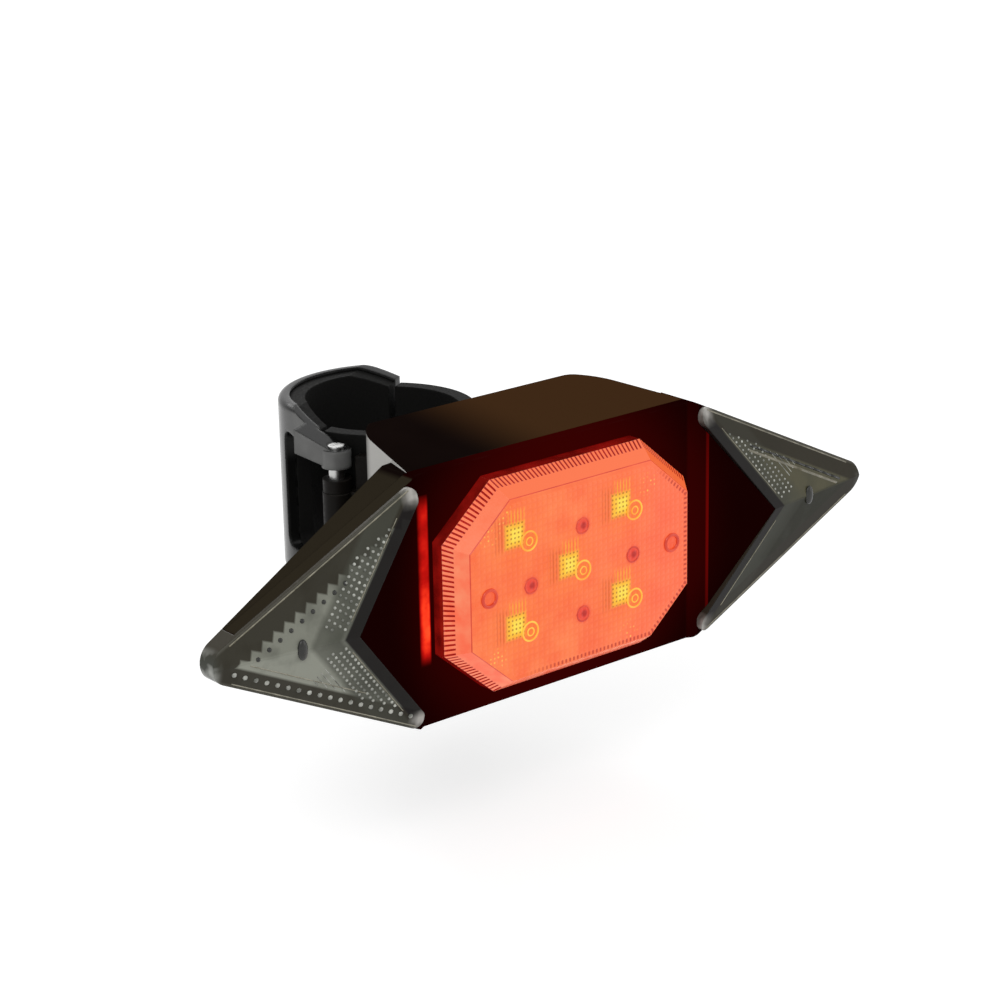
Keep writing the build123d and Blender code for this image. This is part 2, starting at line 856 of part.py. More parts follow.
def socket_cover():
    """The rubber flap over the socket: a plate, a plug in the slot and an eye on the hinge rod."""
    place = flap_pivot()
    top = floor_z - flap_gap
    left = socket_x - flap_half
    plate = block(left, place.X, place.Y - flap_side, place.Y + flap_side, top - flap_thick, top)
    plate = fillet(plate.edges().filter_by(Axis.Z).sort_by(Axis.X)[:2], flap_side / 2)
    plug = block(
        socket_x - flap_plug_half,
        socket_x + flap_plug_half,
        place.Y - flap_plug_side,
        place.Y + flap_plug_side,
        top,
        top + flap_gap + flap_plug_deep,
    )
    reach = flap_hinge_r + flap_eye_wall
    eye = rod_y_at(place, reach, place.Y - flap_side, place.Y + flap_side)
    bore_half = flap_side + overrun
    bore = rod_y_at(place, flap_hinge_r + flap_pin_clear, place.Y - bore_half, place.Y + bore_half)
    return plate + plug + eye - bore


def rail_screw_places():
    """Heights of the two rail screws."""
    return (-rail_screw_pitch / 2, rail_screw_pitch / 2)


def slide_rail():
    """The T-shaped rail on the lamp's back."""
    neck_back = lamp_back + rail_neck_tall
    head_back = neck_back + rail_head_thick
    neck = block(-rail_neck_half, rail_neck_half, lamp_back, neck_back, -rail_drop, rail_top)
    head = block(-rail_head_half, rail_head_half, neck_back, head_back, -rail_drop, rail_top)
    rail = neck + head
    for z in rail_screw_places():
        rail = rail - rod_y(0, z, rail_screw_r, lamp_back - overrun, head_back + overrun)
        rail = rail - rod_y(0, z, rail_screw_head_r, head_back - rail_screw_head, head_back + overrun)
    return rail


def driver_slot(x, z, half, front, back):
    """The slot in a screw's head."""
    return block(x - half, x + half, front, back, z - small_head / 2, z + small_head / 2)


def rail_screws():
    """Two screws through the rail into the rear shell."""
    head_back = lamp_back + rail_neck_tall + rail_head_thick
    screws = []
    for z in rail_screw_places():
        head = rod_y(0, z, rail_screw_head_r, head_back - rail_screw_head, head_back)
        shank = rod_y(0, z, rail_screw_r, head_back - rail_screw_long, head_back - rail_screw_head)
        slot = driver_slot(0, z, rail_screw_r, head_back - rail_screw_head / 2, head_back)
        screws.append(head + shank - slot)
    return screws


def small_screw(x, z, seat, long, faces_front):
    """A small board screw: its head on the seat and its shank behind it."""
    turn = 1 if faces_front else -1
    low, high = sorted((seat - turn * small_head, seat))
    head = rod_y(x, z, small_head_r, low, high)
    low, high = sorted((seat, seat + turn * long))
    return head + rod_y(x, z, small_screw_r, low, high)


def board_screws():
    """The screws that hold the tail board, the control board and the two arrow boards."""
    screws = []
    for x in (-board_post_x, board_post_x):
        for z in (-board_post_z, board_post_z):
            screws.append(small_screw(x, z, led_board_y + led_board_thick, board_screw_long, False))
    for x in (-control_post_x, control_post_x):
        for z in (-control_post_z, control_post_z):
            screws.append(small_screw(x, z, board_front, board_thick + board_screw_long, True))
    for x in (-arrow_screw_x, arrow_screw_x):
        screws.append(small_screw(x, 0, arrow_board_y, arrow_screw_long, True))
    return screws


def case_screws():
    """Four screws from the wings' backs into the face frame's bosses."""
    seat = seam_y + case_boss_tall + case_screw_hold
    screws = []
    for x in (-case_screw_x, case_screw_x):
        for z in (-case_screw_z, case_screw_z):
            head = rod_y(x, z, case_head_r, seat, seat + case_head)
            slot = driver_slot(x, z, case_screw_r, seat + case_head / 2, seat + case_head)
            shank = rod_y(x, z, case_screw_r, seam_y, seat)
            screws.append(head + shank - slot)
    return screws


def wire(points):
    """A round wire along straight runs with rounded bends."""
    path = FilletPolyline(*points, radius=wire_pitch)
    start = Plane(path @ 0, z_dir=path % 0)
    return sweep(start * Circle(wire_r), path=path)


def arrow_leads(side):
    """Two wires from the control board's edge to one arrow board's back."""
    board_edge = board_width / 2 + wire_r + wire_gap
    board_middle = board_back - board_thick / 2
    side_x = body_width_at(board_back) - wall - wire_turn
    root_y = wing_back_at(body_half) - wing_wall - wire_r - wire_wall_gap
    end_y = arrow_board_y + arrow_board_thick + wire_r + wire_gap
    wires = []
    for z in (wire_pitch / 2, -wire_pitch / 2):
        points = [
            (side * board_edge, board_middle, z),
            (side * side_x, board_middle - wire_turn, z),
            (side * (side_x + wire_turn), root_y, z),
            (side * body_half, root_y, z),
            (side * lead_end_x, end_y, z),
        ]
        wires.append(wire(points))
    return wires


def battery_leads():
    """Two wires from the top of the cell to the control board's front."""
    middle = (battery_y + battery_back) / 2
    start = battery_rise + battery_tall / 2 + wire_gap
    bend = start + wire_pitch + wire_gap
    wires = []
    for x in (wire_pitch, -wire_pitch):
        wires.append(wire([(x, middle, start), (x, middle, bend), (x, board_front - wire_gap, bend)]))
    return wires


def saddle():
    """The fixed half of the clamp: band, slotted block, hinge knuckle and the ear for the screw."""
    low = -strap_drop
    edge = parting_shift - parting_half_gap
    band = post_tube(shim_r, band_r, low, saddle_top)
    reach = band_r + knuckle_r + overrun
    band = band & clamp_block(-reach, reach, -reach, edge, low, saddle_top)
    hinge_edge = -knuckle_r - knuckle_play
    band = band - clamp_block(-reach, 0, hinge_edge, reach, low, saddle_top)
    front = lamp_back + slot_front_gap
    base = block(-block_half, block_half, front, -shim_r / 2, -block_drop, block_top)
    base = fillet(base.edges().filter_by(Axis.Z).sort_by(Axis.Y)[:2], edge_round)
    knuckle = rod_z(pivot, knuckle_r, -saddle_knuckle_drop, saddle_knuckle_top)
    web_low = -knuckle_r - 2 * web_half
    root = clamp_block(-pivot_reach, web_half - shim_r, web_low, 0, -saddle_knuckle_drop, saddle_knuckle_top)
    ear_low = screw_level - ear_tall / 2
    ear = clamp_block(ear_root, ear_reach, -ear_half, ear_half, ear_low, ear_low + ear_tall)
    body = band + base + knuckle + root + ear
    body = body - Cylinder(shim_r, tall_cut * 2)
    body = body - rod_z(pivot, hinge_pin_r, -tall_cut, tall_cut)
    body = body - screw_rod(screw_r + thread_clear + insert_wall, -ear_half - overrun, ear_half + overrun)
    return body - rail_slot()


def rail_slot():
    """The slot that the lamp's rail slides down into, open at the top."""
    neck_back = lamp_back + rail_neck_tall
    head_back = neck_back + rail_head_thick
    low = -rail_drop - slot_stop_gap
    half = rail_head_half + slot_clear
    head = block(-half, half, neck_back - slot_clear, head_back + slot_clear, low, tall_cut)
    half = rail_neck_half + slot_clear
    return head + block(-half, half, lamp_back, neck_back, low, tall_cut)


def screw_plane(v):
    """A plane square to the clamp screw at a distance along v."""
    place = line_u * screw_reach + line_v * v + Vector(0, 0, screw_level)
    return Plane(place, x_dir=(0, 0, 1), z_dir=line_v)


def screw_rod(radius, start, end):
    """A cylinder on the clamp screw's axis."""
    return extrude(screw_plane(start) * Circle(radius), end - start)


def thread_insert():
    """The brass insert in the saddle's ear."""
    outer = screw_rod(screw_r + thread_clear + insert_wall, -ear_half, ear_half)
    return outer - screw_rod(screw_r + thread_clear, -ear_half - overrun, ear_half + overrun)


def saddle_pad():
    """The rubber shim's half in the saddle, cut back behind the strap's window."""
    edge = parting_shift - parting_half_gap
    tube = post_tube(post_r, shim_r, -shim_drop, saddle_pad_top)
    half = tube & clamp_block(-shim_r, shim_r, -shim_r, edge, -shim_drop, saddle_pad_top)
    return half - window_space(pad_window_turn)


def strap_pad():
    """The rubber shim's half in the strap, with the strap's window."""
    edge = parting_shift + parting_half_gap
    tube = post_tube(post_r, shim_r, -shim_drop, strap_pad_top)
    half = tube & clamp_block(-shim_r, shim_r, edge, shim_r, -shim_drop, strap_pad_top)
    half = half - over_slope(strap_top - strap_pad_top)
    return half - window_space(pad_window_turn)


def hinge_pin():
    """The pin that the strap swings on."""
    return rod_z(pivot, hinge_pin_r, -strap_drop - hinge_pin_stand, strap_arm_top + hinge_pin_stand)


def hinge_spacer():
    """The collar on the pin above the saddle's knuckle."""
    ring = rod_z(pivot, spacer_r, saddle_knuckle_top, saddle_knuckle_top + spacer_tall)
    return ring - rod_z(pivot, hinge_pin_r, -tall_cut, tall_cut)


def over_slope(drop):
    """The space over the strap's top edge, which falls towards the hinge, lowered by a drop."""
    reach = 2 * (band_r + knuckle_r)
    arm_top = strap_arm_top - drop
    top = strap_top - drop
    side = Polygon(
        (-reach, arm_top),
        (0, arm_top),
        (strap_slope_run, top),
        (reach, top),
        (reach, tall_cut),
        (-reach, tall_cut),
        align=None,
    )
    return extrude(slope_plane * side, tall_cut, both=True)


def window_space(start_turn):
    """The window through the left side, as a wedge from a start turn round to its far edge."""
    reach = 2 * (band_r + knuckle_r)
    start = radians(start_turn)
    end = radians(window_turn)
    wedge = Polygon(
        (0, 0),
        (-reach * sin(end), -reach * cos(end)),
        (-reach * sin(start), -reach * cos(start)),
        align=None,
    )
    climb = (window_far_top - window_top) / window_slope_run
    side = Polygon(
        (-reach, -window_drop),
        (reach, -window_drop),
        (reach, window_top + climb * reach),
        (-reach, window_top - climb * reach),
        align=None,
    )
    window = standing(wedge, -tall_cut, tall_cut) & extrude(slope_plane * side, tall_cut, both=True)
    place = Vector(-band_r * sin(end), -band_r * cos(end), (window_top - window_drop) / 2)
    far_face = window.faces().sort_by_distance(place)[0]
    radial = far_face.edges().filter_by(Axis.Z, reverse=True)
    return fillet(radial, window_corner)


def rounded_band(low, high):
    """The strap's full ring with its outer edges rounded."""
    ring = Cylinder(band_r, high - low, align=(Align.CENTER, Align.CENTER, Align.MIN))
    ring = fillet(ring.edges().filter_by(GeomType.CIRCLE), band_round)
    return Pos(0, 0, low) * ring - Cylinder(shim_r, tall_cut * 2)


def arm_heights():
    """Low end, high end and knuckle's high end of the strap's two hinge arms."""
    return ((-strap_drop, -window_drop, -window_drop), (window_top, strap_top, strap_arm_top))


def clamp_strap():
    """The swinging half of the clamp: band with its window, hinge knuckles and the screw's ear."""
    low = -strap_drop
    edge = parting_shift + parting_half_gap
    reach = band_r + knuckle_r + overrun
    body = rounded_band(low, strap_top) & clamp_block(-reach, reach, edge, reach, low, strap_top)
    body = body - window_space(90 - hinge_turn)
    arm_inner = -shim_r - knuckle_play
    arm_end = edge + web_half
    for arm_low, arm_top, knuckle_top in arm_heights():
        arm = clamp_block(-pivot_reach - web_half, arm_inner, 0, arm_end, arm_low, arm_top)
        arm = arm - Cylinder(shim_r, tall_cut * 2) - over_slope(0) - window_space(0)
        body = body - over_slope(0) + arm + rod_z(pivot, knuckle_r, arm_low, knuckle_top)
    ear_low = screw_level - ear_tall / 2
    ear_start = ear_half + strap_ear_gap
    ear_end = ear_start + strap_ear_thick
    ear = clamp_block(ear_root, ear_reach, ear_start, ear_end, ear_low, ear_low + ear_tall)
    body = body + (ear - Cylinder(shim_r, tall_cut * 2))
    body = body - rod_z(pivot, hinge_pin_r + pin_clear, -tall_cut, tall_cut)
    return body - screw_rod(screw_r + ear_hole_clear, ear_start - overrun, ear_end + overrun)


def washer_start():
    """Where the washer starts along the screw's axis."""
    return ear_half + strap_ear_gap + strap_ear_thick + washer_gap


def screw_washer():
    """The washer under the thumb head."""
    start = washer_start()
    ring = screw_rod(washer_r, start, start + washer_thick)
    return ring - screw_rod(screw_r + washer_bore_clear, start - overrun, start + washer_thick + overrun)


def clamp_screw():
    """The thumb screw: threaded shank and scalloped head."""
    head_start = washer_start() + washer_thick + washer_gap
    head = screw_rod(thumb_r, head_start, head_start + thumb_tall)
    head = fillet(head.edges().filter_by(GeomType.CIRCLE), thumb_round)
    for step in range(thumb_scallops):
        turn = radians(360 * step / thumb_scallops)
        plane = screw_plane(head_start - overrun)
        face = Pos(thumb_r * cos(turn), thumb_r * sin(turn)) * Circle(thumb_scallop_r)
        head = head - extrude(plane * face, thumb_tall + 2 * overrun)
    shank = screw_rod(screw_r, -ear_half, head_start)
    tip = shank.edges().filter_by(GeomType.CIRCLE).sort_by_distance(screw_plane(-ear_half).origin)[:1]
    shank = chamfer(tip, screw_r / 3)
    return head + shank


def grouped(solids):
    """Several separate solids as one sub-part."""
    return Compound(children=solids)


def main():
    """Write every sub-part."""
    save("rear_housing", rear_housing())
    save("front_cover", front_cover())
    save("tail_lens", tail_lens())
    save("tail_gasket", tail_gasket())
    save("tail_reflector", tail_reflector())
    save("led_board", led_board())
    save("tail_leds", grouped(square_holes(led_places(), led_side, led_board_y - led_tall, led_board_y)))
    save("aux_leds", grouped(square_holes(aux_places(), aux_led_side, aux_led_front, led_board_y)))
    wing_parts = {
        "arrow_lens": arrow_lens(),
        "arrow_gasket": arrow_gasket(),
        "arrow_reflector": arrow_reflector(),
        "arrow_board": arrow_board(),
    }
    for name, shape in wing_parts.items():
        right, left = both_sides(shape)
        save("right_" + name, right)
        save("left_" + name, left)
    save("right_arrow_leds", grouped(arrow_leds()))
    save("left_arrow_leds", grouped([mirror(led, about=Plane.YZ) for led in arrow_leds()]))
    save("battery", battery())
    save("battery_pads", grouped(battery_pads()))
    save("battery_leads", grouped(battery_leads()))
    save("control_board", control_board())
    save("control_chips", grouped(control_chips()))
    save("antenna", antenna())
    save("tact_switch", tact_switch())
    save("power_button", power_button())
    save("button_seal", button_seal())
    save("charge_socket", charge_socket())
    save("socket_cover", socket_cover())
    save("right_leads", grouped(arrow_leads(1)))
    save("left_leads", grouped(arrow_leads(-1)))
    save("slide_rail", slide_rail())
    save("rail_screws", grouped(rail_screws()))
    save("board_screws", grouped(board_screws()))
    save("case_screws", grouped(case_screws()))
    save("saddle", saddle())
    save("saddle_pad", saddle_pad())
    save("thread_insert", thread_insert())
    save("hinge_pin", hinge_pin())
    save("hinge_spacer", hinge_spacer())
    save("clamp_strap", clamp_strap())
    save("strap_pad", strap_pad())
    save("screw_washer", screw_washer())
    save("clamp_screw", clamp_screw())


main()
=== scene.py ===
import math

import bmesh
import bpy
from mathutils import Matrix, Vector
from mathutils.bvhtree import BVHTree


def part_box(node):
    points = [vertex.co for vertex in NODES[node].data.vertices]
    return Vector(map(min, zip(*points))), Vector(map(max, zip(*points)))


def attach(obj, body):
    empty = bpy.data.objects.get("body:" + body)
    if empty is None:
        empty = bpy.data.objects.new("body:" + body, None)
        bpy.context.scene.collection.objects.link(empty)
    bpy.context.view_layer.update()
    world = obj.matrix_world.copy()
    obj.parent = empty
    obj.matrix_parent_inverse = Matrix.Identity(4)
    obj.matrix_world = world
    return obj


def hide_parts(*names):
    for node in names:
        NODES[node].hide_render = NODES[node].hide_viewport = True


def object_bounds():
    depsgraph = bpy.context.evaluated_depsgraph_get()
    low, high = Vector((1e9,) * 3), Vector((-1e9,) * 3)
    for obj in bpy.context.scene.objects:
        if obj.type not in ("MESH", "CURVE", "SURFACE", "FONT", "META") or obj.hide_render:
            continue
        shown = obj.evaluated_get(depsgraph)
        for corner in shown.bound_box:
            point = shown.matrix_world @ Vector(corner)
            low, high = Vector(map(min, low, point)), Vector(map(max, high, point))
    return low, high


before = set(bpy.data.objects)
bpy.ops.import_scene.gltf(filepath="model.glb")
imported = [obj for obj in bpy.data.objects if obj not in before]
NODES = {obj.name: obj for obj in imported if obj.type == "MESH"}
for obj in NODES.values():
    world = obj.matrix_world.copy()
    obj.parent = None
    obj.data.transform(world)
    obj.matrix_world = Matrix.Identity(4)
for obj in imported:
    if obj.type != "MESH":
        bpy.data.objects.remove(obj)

# Dresses the bicycle turn signal light. Lengths below are millimetres, turned to metres by MM.
MM = 0.001
first_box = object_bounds()

# Tail lens: an octagon with cut corners, a sloped ribbed border and a flat front with prisms
lens_low, lens_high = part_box("tail_lens")
LENS_FLANGE = 0.7
LENS_HALF_W = lens_high.x / MM - LENS_FLANGE
LENS_HALF_T = lens_high.z / MM - LENS_FLANGE
LENS_BACK = lens_high.y / MM
LENS_FRONT = lens_low.y / MM
LENS_RISE = 3.6
LENS_INSET = 2.5
LENS_WALL = 1.4
LENS_CUT_X = 9.3
LENS_CUT_Z = 8.1
CUT_RUN = math.hypot(LENS_CUT_X, LENS_CUT_Z)
CUT_LEAN_X = LENS_CUT_Z / CUT_RUN
CUT_LEAN_Z = LENS_CUT_X / CUT_RUN
CUT_REACH = CUT_LEAN_X * LENS_HALF_W + CUT_LEAN_Z * (LENS_HALF_T - LENS_CUT_Z)
RIB_PITCH = 0.78
LAND_END_SHARE = 0.58
GROOVE_SHARE = 0.79
GROOVE_DEEP = 0.24
GRID_PITCH = 1.0
PRISM_MARGIN = 0.7
PRISM_TALL = 0.09
PRISM_SUNK = 0.15

# Places of the lights, small lights and tray bosses behind the lens
LED_X = 10.6
LED_Z = 7.2
AUX_X = 10.3
AUX_Z = 7.1
BOSS_X = 18.4
LIGHTS = [(0, 0)] + [(x, z) for x in (-LED_X, LED_X) for z in (-LED_Z, LED_Z)]
SMALL_LIGHTS = [(0, AUX_Z), (0, -AUX_Z), (-AUX_X, 0), (AUX_X, 0)]
BOSSES = [(-BOSS_X, 0), (BOSS_X, 0)]

# What the lens shows: how far it shifts a light, where it sparkles, and the pitches of its fine texture
SEEN_SHIFT = (-2.8, 1.5)
SPARKLES = [(-17.2, 11.0), (-15.6, 12.2), (-18.4, 9.6), (13.4, 10.6), (-17.0, -9.9), (9.3, -12.4)]
COMB_PITCH = 0.62
DOT_PITCH = 0.72

# The middle of the lens's light, ahead of its front, as the cover sees it
LIGHT_AHEAD = 2.0

# Rings moulded in the lens, each with its radius and thickness
RING_LIFT = 0.05
LIGHT_RING = (1.5, 0.15)
LIGHT_CORE = (0.62, 0.13)
CORE_SHIFT = 0.1
BOSS_RING = (1.3, 0.3)
SMALL_RING = (1.2, 0.17)
SMALL_RING_SUNK = 0.08

# Arrow lenses: outline, notch and tip of the right one
BODY_HALF = 28.0
BODY_TALL = 19.8
TIP_X = 68.7
NOTCH_X = 41.8
NOTCH_TALL = 17.0
NOTCH_RUN = math.hypot(NOTCH_TALL, NOTCH_X - BODY_HALF)
NOTCH_LEAN_X = NOTCH_TALL / NOTCH_RUN
NOTCH_LEAN_Z = (NOTCH_X - BODY_HALF) / NOTCH_RUN
EDGE_RUN = math.hypot(BODY_TALL, TIP_X - BODY_HALF)
EDGE_LEAN_X = BODY_TALL / EDGE_RUN
EDGE_LEAN_Z = (TIP_X - BODY_HALF) / EDGE_RUN

# Beads of the arrow lenses, each with its radius and height
LEFT_BEAD = (0.27, 0.24)
RIGHT_BEAD = (0.22, 0.14)
EDGE_BEAD = (0.42, 0.3)
TOOTH_BEAD = (0.38, 0.2)

# Rows of beads along the notch, and rows beside the outer edge: gap, first place, pitch and count
BEAD_ROWS = 4
BEADS_IN_ROW = 24
BEAD_GAP = 2.6
BEAD_ROW_STEP = 0.92
BEAD_START = 1.2
BEAD_PITCH = 0.98
BEAD_SLANT_SHARE = 0.55
BEAD_CLEAR_MIDDLE = 0.45
BEAD_CLEAR_EDGE = 2.6
TOOTH_PITCH = 2.15
EDGE_ROW = (1.85, 7.0, 2.0, 18)
TOOTH_ROW = (4.5, 9.7, TOOTH_PITCH, 9)
STRIP_WIDTH = 1.6

# Lines beside the outer edge or the notch: gap, near end and far end along it
RIM_LINE = (0.45, 3.4, 43.0)
BAR_LINE = (4.2, 9.4, 32.0)
FINE_LINE = (3.7, 8.8, 31.5)
DARK_LINE = (3.4, 8.6, 32.0)
NOTCH_LINE = (2.2, 1.2, 17.5)

# Their ridges, each with its half width and height
RIM_RIDGE = (0.16, 0.12)
BAR_RIDGE = (0.26, 0.3)
FINE_RIDGE = (0.14, 0.1)
DARK_RIDGE = (0.34, 0.1)
NOTCH_RIDGE = (0.12, 0.1)
HATCH_RIDGE = (0.15, 0.08)
SHORTEST_RIDGE = 0.4
SUNK = 0.06

# Fine hatch: lines beside the notch, found in samples along them, clear of the middle, edge and tip
HATCH_LINES = 18
HATCH_GAP = 6.6
HATCH_STEP = 0.74
HATCH_RUNS = 3
HATCH_CLEAR_MIDDLE = 0.15
HATCH_CLEAR_EDGE = 3.1
HATCH_END_X = 62.0
SAMPLES = 160
SAMPLE_STEP = 0.2
FEWEST_SAMPLES = 6

# The dark oval spot near the middle of each arrow lens
SPOT_X = 51.0
SPOT_Z = 0.02
SPOT_BACK = 0.1
SPOT_SIZE = (0.85, 0.5, 1.6)

# The start of every drop onto the lenses, well in front of them
DROP_Y = -200

# Grain of all finishes
CLOUD_SCALE = 70
EDGE_PATCH_SCALE = 420
LEAST_ROUGH = 0.02
COAT_ROUGH = 0.06
BUMP_REACH = 0.1

# Colours that more than one finish uses
# Brown painted on faces that look up, for daylight falling on them
PAINTED_DAYLIGHT_BROWN = (0.030, 0.024, 0.015, 1.0)
LENS_CLEAR_RED = (0.05, 0.004, 0.002, 1.0)


class Maker:
    """Builds one node material."""

    def __init__(self, name):
        self.material = bpy.data.materials.new(name)
        self.material.use_nodes = True
        self.tree = self.material.node_tree
        self.tree.nodes.clear()
        self.output = self.new("ShaderNodeOutputMaterial")
        self.shader = self.new("ShaderNodeBsdfPrincipled")
        self.join(self.shader.outputs[0], self.output.inputs["Surface"])

    def new(self, kind, **settings):
        node = self.tree.nodes.new(kind)
        for key, value in settings.items():
            setattr(node, key, value)
        return node

    def join(self, source, target):
        self.tree.links.new(source, target)

    def feed(self, socket, value):
        if isinstance(value, bpy.types.NodeSocket):
            self.join(value, socket)
        else:
            socket.default_value = value

    def math(self, operation, *values):
        """An operation on one value, or on several in turn."""
        result = values[0]
        for value in values[1:] or (0.0,):
            node = self.new("ShaderNodeMath", operation=operation)
            self.feed(node.inputs[0], result)
            self.feed(node.inputs[1], value)
            result = node.outputs[0]
        return result

    def times(self, *values):
        return self.math("MULTIPLY", *values)

    def plus(self, *values):
        return self.math("ADD", *values)

    def minus(self, first, second):
        return self.math("SUBTRACT", first, second)

    def size(self, value):
        """The value without its sign."""
        return self.math("ABSOLUTE", value)

    def off_middle(self, value, step):
        """How far a value lies from the middle of its cell, as a share of the step."""
        cell = self.math("FRACT", self.math("DIVIDE", value, step))
        return self.size(self.minus(cell, 0.5))

    def vector(self, operation, first, second=(0, 0, 0)):
        node = self.new("ShaderNodeVectorMath", operation=operation)
        self.feed(node.inputs[0], first)
        self.feed(node.inputs[1], second)
        return node.outputs["Value"] if operation in ("DOT_PRODUCT", "LENGTH") else node.outputs[0]

    def remap(self, value, low, high, to_low=0.0, to_high=1.0, smooth=False):
        node = self.new("ShaderNodeMapRange", clamp=True)
        if smooth:
            node.interpolation_type = "SMOOTHSTEP"
        self.feed(node.inputs[0], value)
        for slot, number in zip(node.inputs[1:5], (low, high, to_low, to_high)):
            slot.default_value = number
        return node.outputs[0]

    def mix(self, share, first, second):
        """One colour where the share is 0, the other where it is 1."""
        node = self.new("ShaderNodeMix", data_type="RGBA")
        self.feed(node.inputs[0], share)
        self.feed(node.inputs[6], first)
        self.feed(node.inputs[7], second)
        return node.outputs[2]

    def lay(self, below, mask, strength, colour):
        """A colour laid over another where a mask says, up to a strength."""
        return self.mix(self.times(mask, strength), below, colour)

    def paint(self, **inputs):
        """Feeds the shader's inputs, named with underscores for spaces."""
        for name, value in inputs.items():
            self.feed(self.shader.inputs[name.replace("_", " ")], value)

    def noise(self, scale, detail=3.0, stretch=None):
        node = self.new("ShaderNodeTexNoise")
        place = self.place()
        if stretch:
            place = self.vector("MULTIPLY", place, stretch)
        self.join(place, node.inputs["Vector"])
        node.inputs["Scale"].default_value = scale
        node.inputs["Detail"].default_value = detail
        return node.outputs[0]

    def place(self):
        """The point on the object at rest, in metres."""
        return self.new("ShaderNodeTexCoord").outputs["Object"]

    def place_mm(self):
        """The same point in millimetres."""
        return self.vector("MULTIPLY", self.place(), (1 / MM, 1 / MM, 1 / MM))

    def normal(self):
        """The direction that the surface faces."""
        return self.new("ShaderNodeNewGeometry").outputs["Normal"]

    def parts(self, vector):
        """The three numbers of a place or direction."""
        node = self.new("ShaderNodeSeparateXYZ")
        self.join(vector, node.inputs[0])
        return node.outputs


def rgb(*values):
    return (*values, 1.0)


def scaled(colour, factor):
    return tuple(min(1.0, value * factor) for value in colour[:3]) + (1.0,)


def moved(places, across, up):
    """Places that are all moved by the same step."""
    return [(x + across, z + up) for x, z in places]


def surface(name, base, rough, edge_wear_and_highlight, metal=0.0, grain=2600, bump=0.12, shade=0.3, edge_wear_and_highlight_share=0.5,
            coat=0.0, gloss=0.5, edge=0.35, rough_span=0.1, stretch=None):
    """A finish with grain, colour variation and a paler colour along its edges: wear on the shells and plain
    parts, a painted edge highlight on the lenses. Returns its maker.
    """
    make = Maker(name)
    cloud = make.noise(CLOUD_SCALE, 3)
    fine = make.noise(grain, 4, stretch)
    rounded = make.new("ShaderNodeBevel", samples=4)
    rounded.inputs["Radius"].default_value = edge * MM
    rim = make.remap(make.vector("DOT_PRODUCT", rounded.outputs[0], make.normal()), 0.995, 0.9)
    # Paler edges: wear on the shells and plain parts, a painted edge highlight on the lit and clear lenses
    rim_patch = make.times(rim, make.remap(make.noise(EDGE_PATCH_SCALE, 4), 0.42, 0.62))
    shaded = make.mix(cloud, scaled(base, 1 - shade), scaled(base, 1 + shade))
    make.colour = make.lay(shaded, rim_patch, edge_wear_and_highlight_share, edge_wear_and_highlight)
    roughness = make.remap(fine, 0.3, 0.7, max(LEAST_ROUGH, rough - rough_span), rough + rough_span)
    raised = make.new("ShaderNodeBump")
    raised.inputs["Strength"].default_value = bump
    raised.inputs["Distance"].default_value = BUMP_REACH * MM
    make.join(fine, raised.inputs["Height"])
    make.join(rounded.outputs[0], raised.inputs["Normal"])
    make.paint(Base_Color=make.colour, Roughness=roughness, Metallic=metal, Specular_IOR_Level=gloss,
               Coat_Weight=coat, Coat_Roughness=COAT_ROUGH, Normal=raised.outputs[0])
    return make


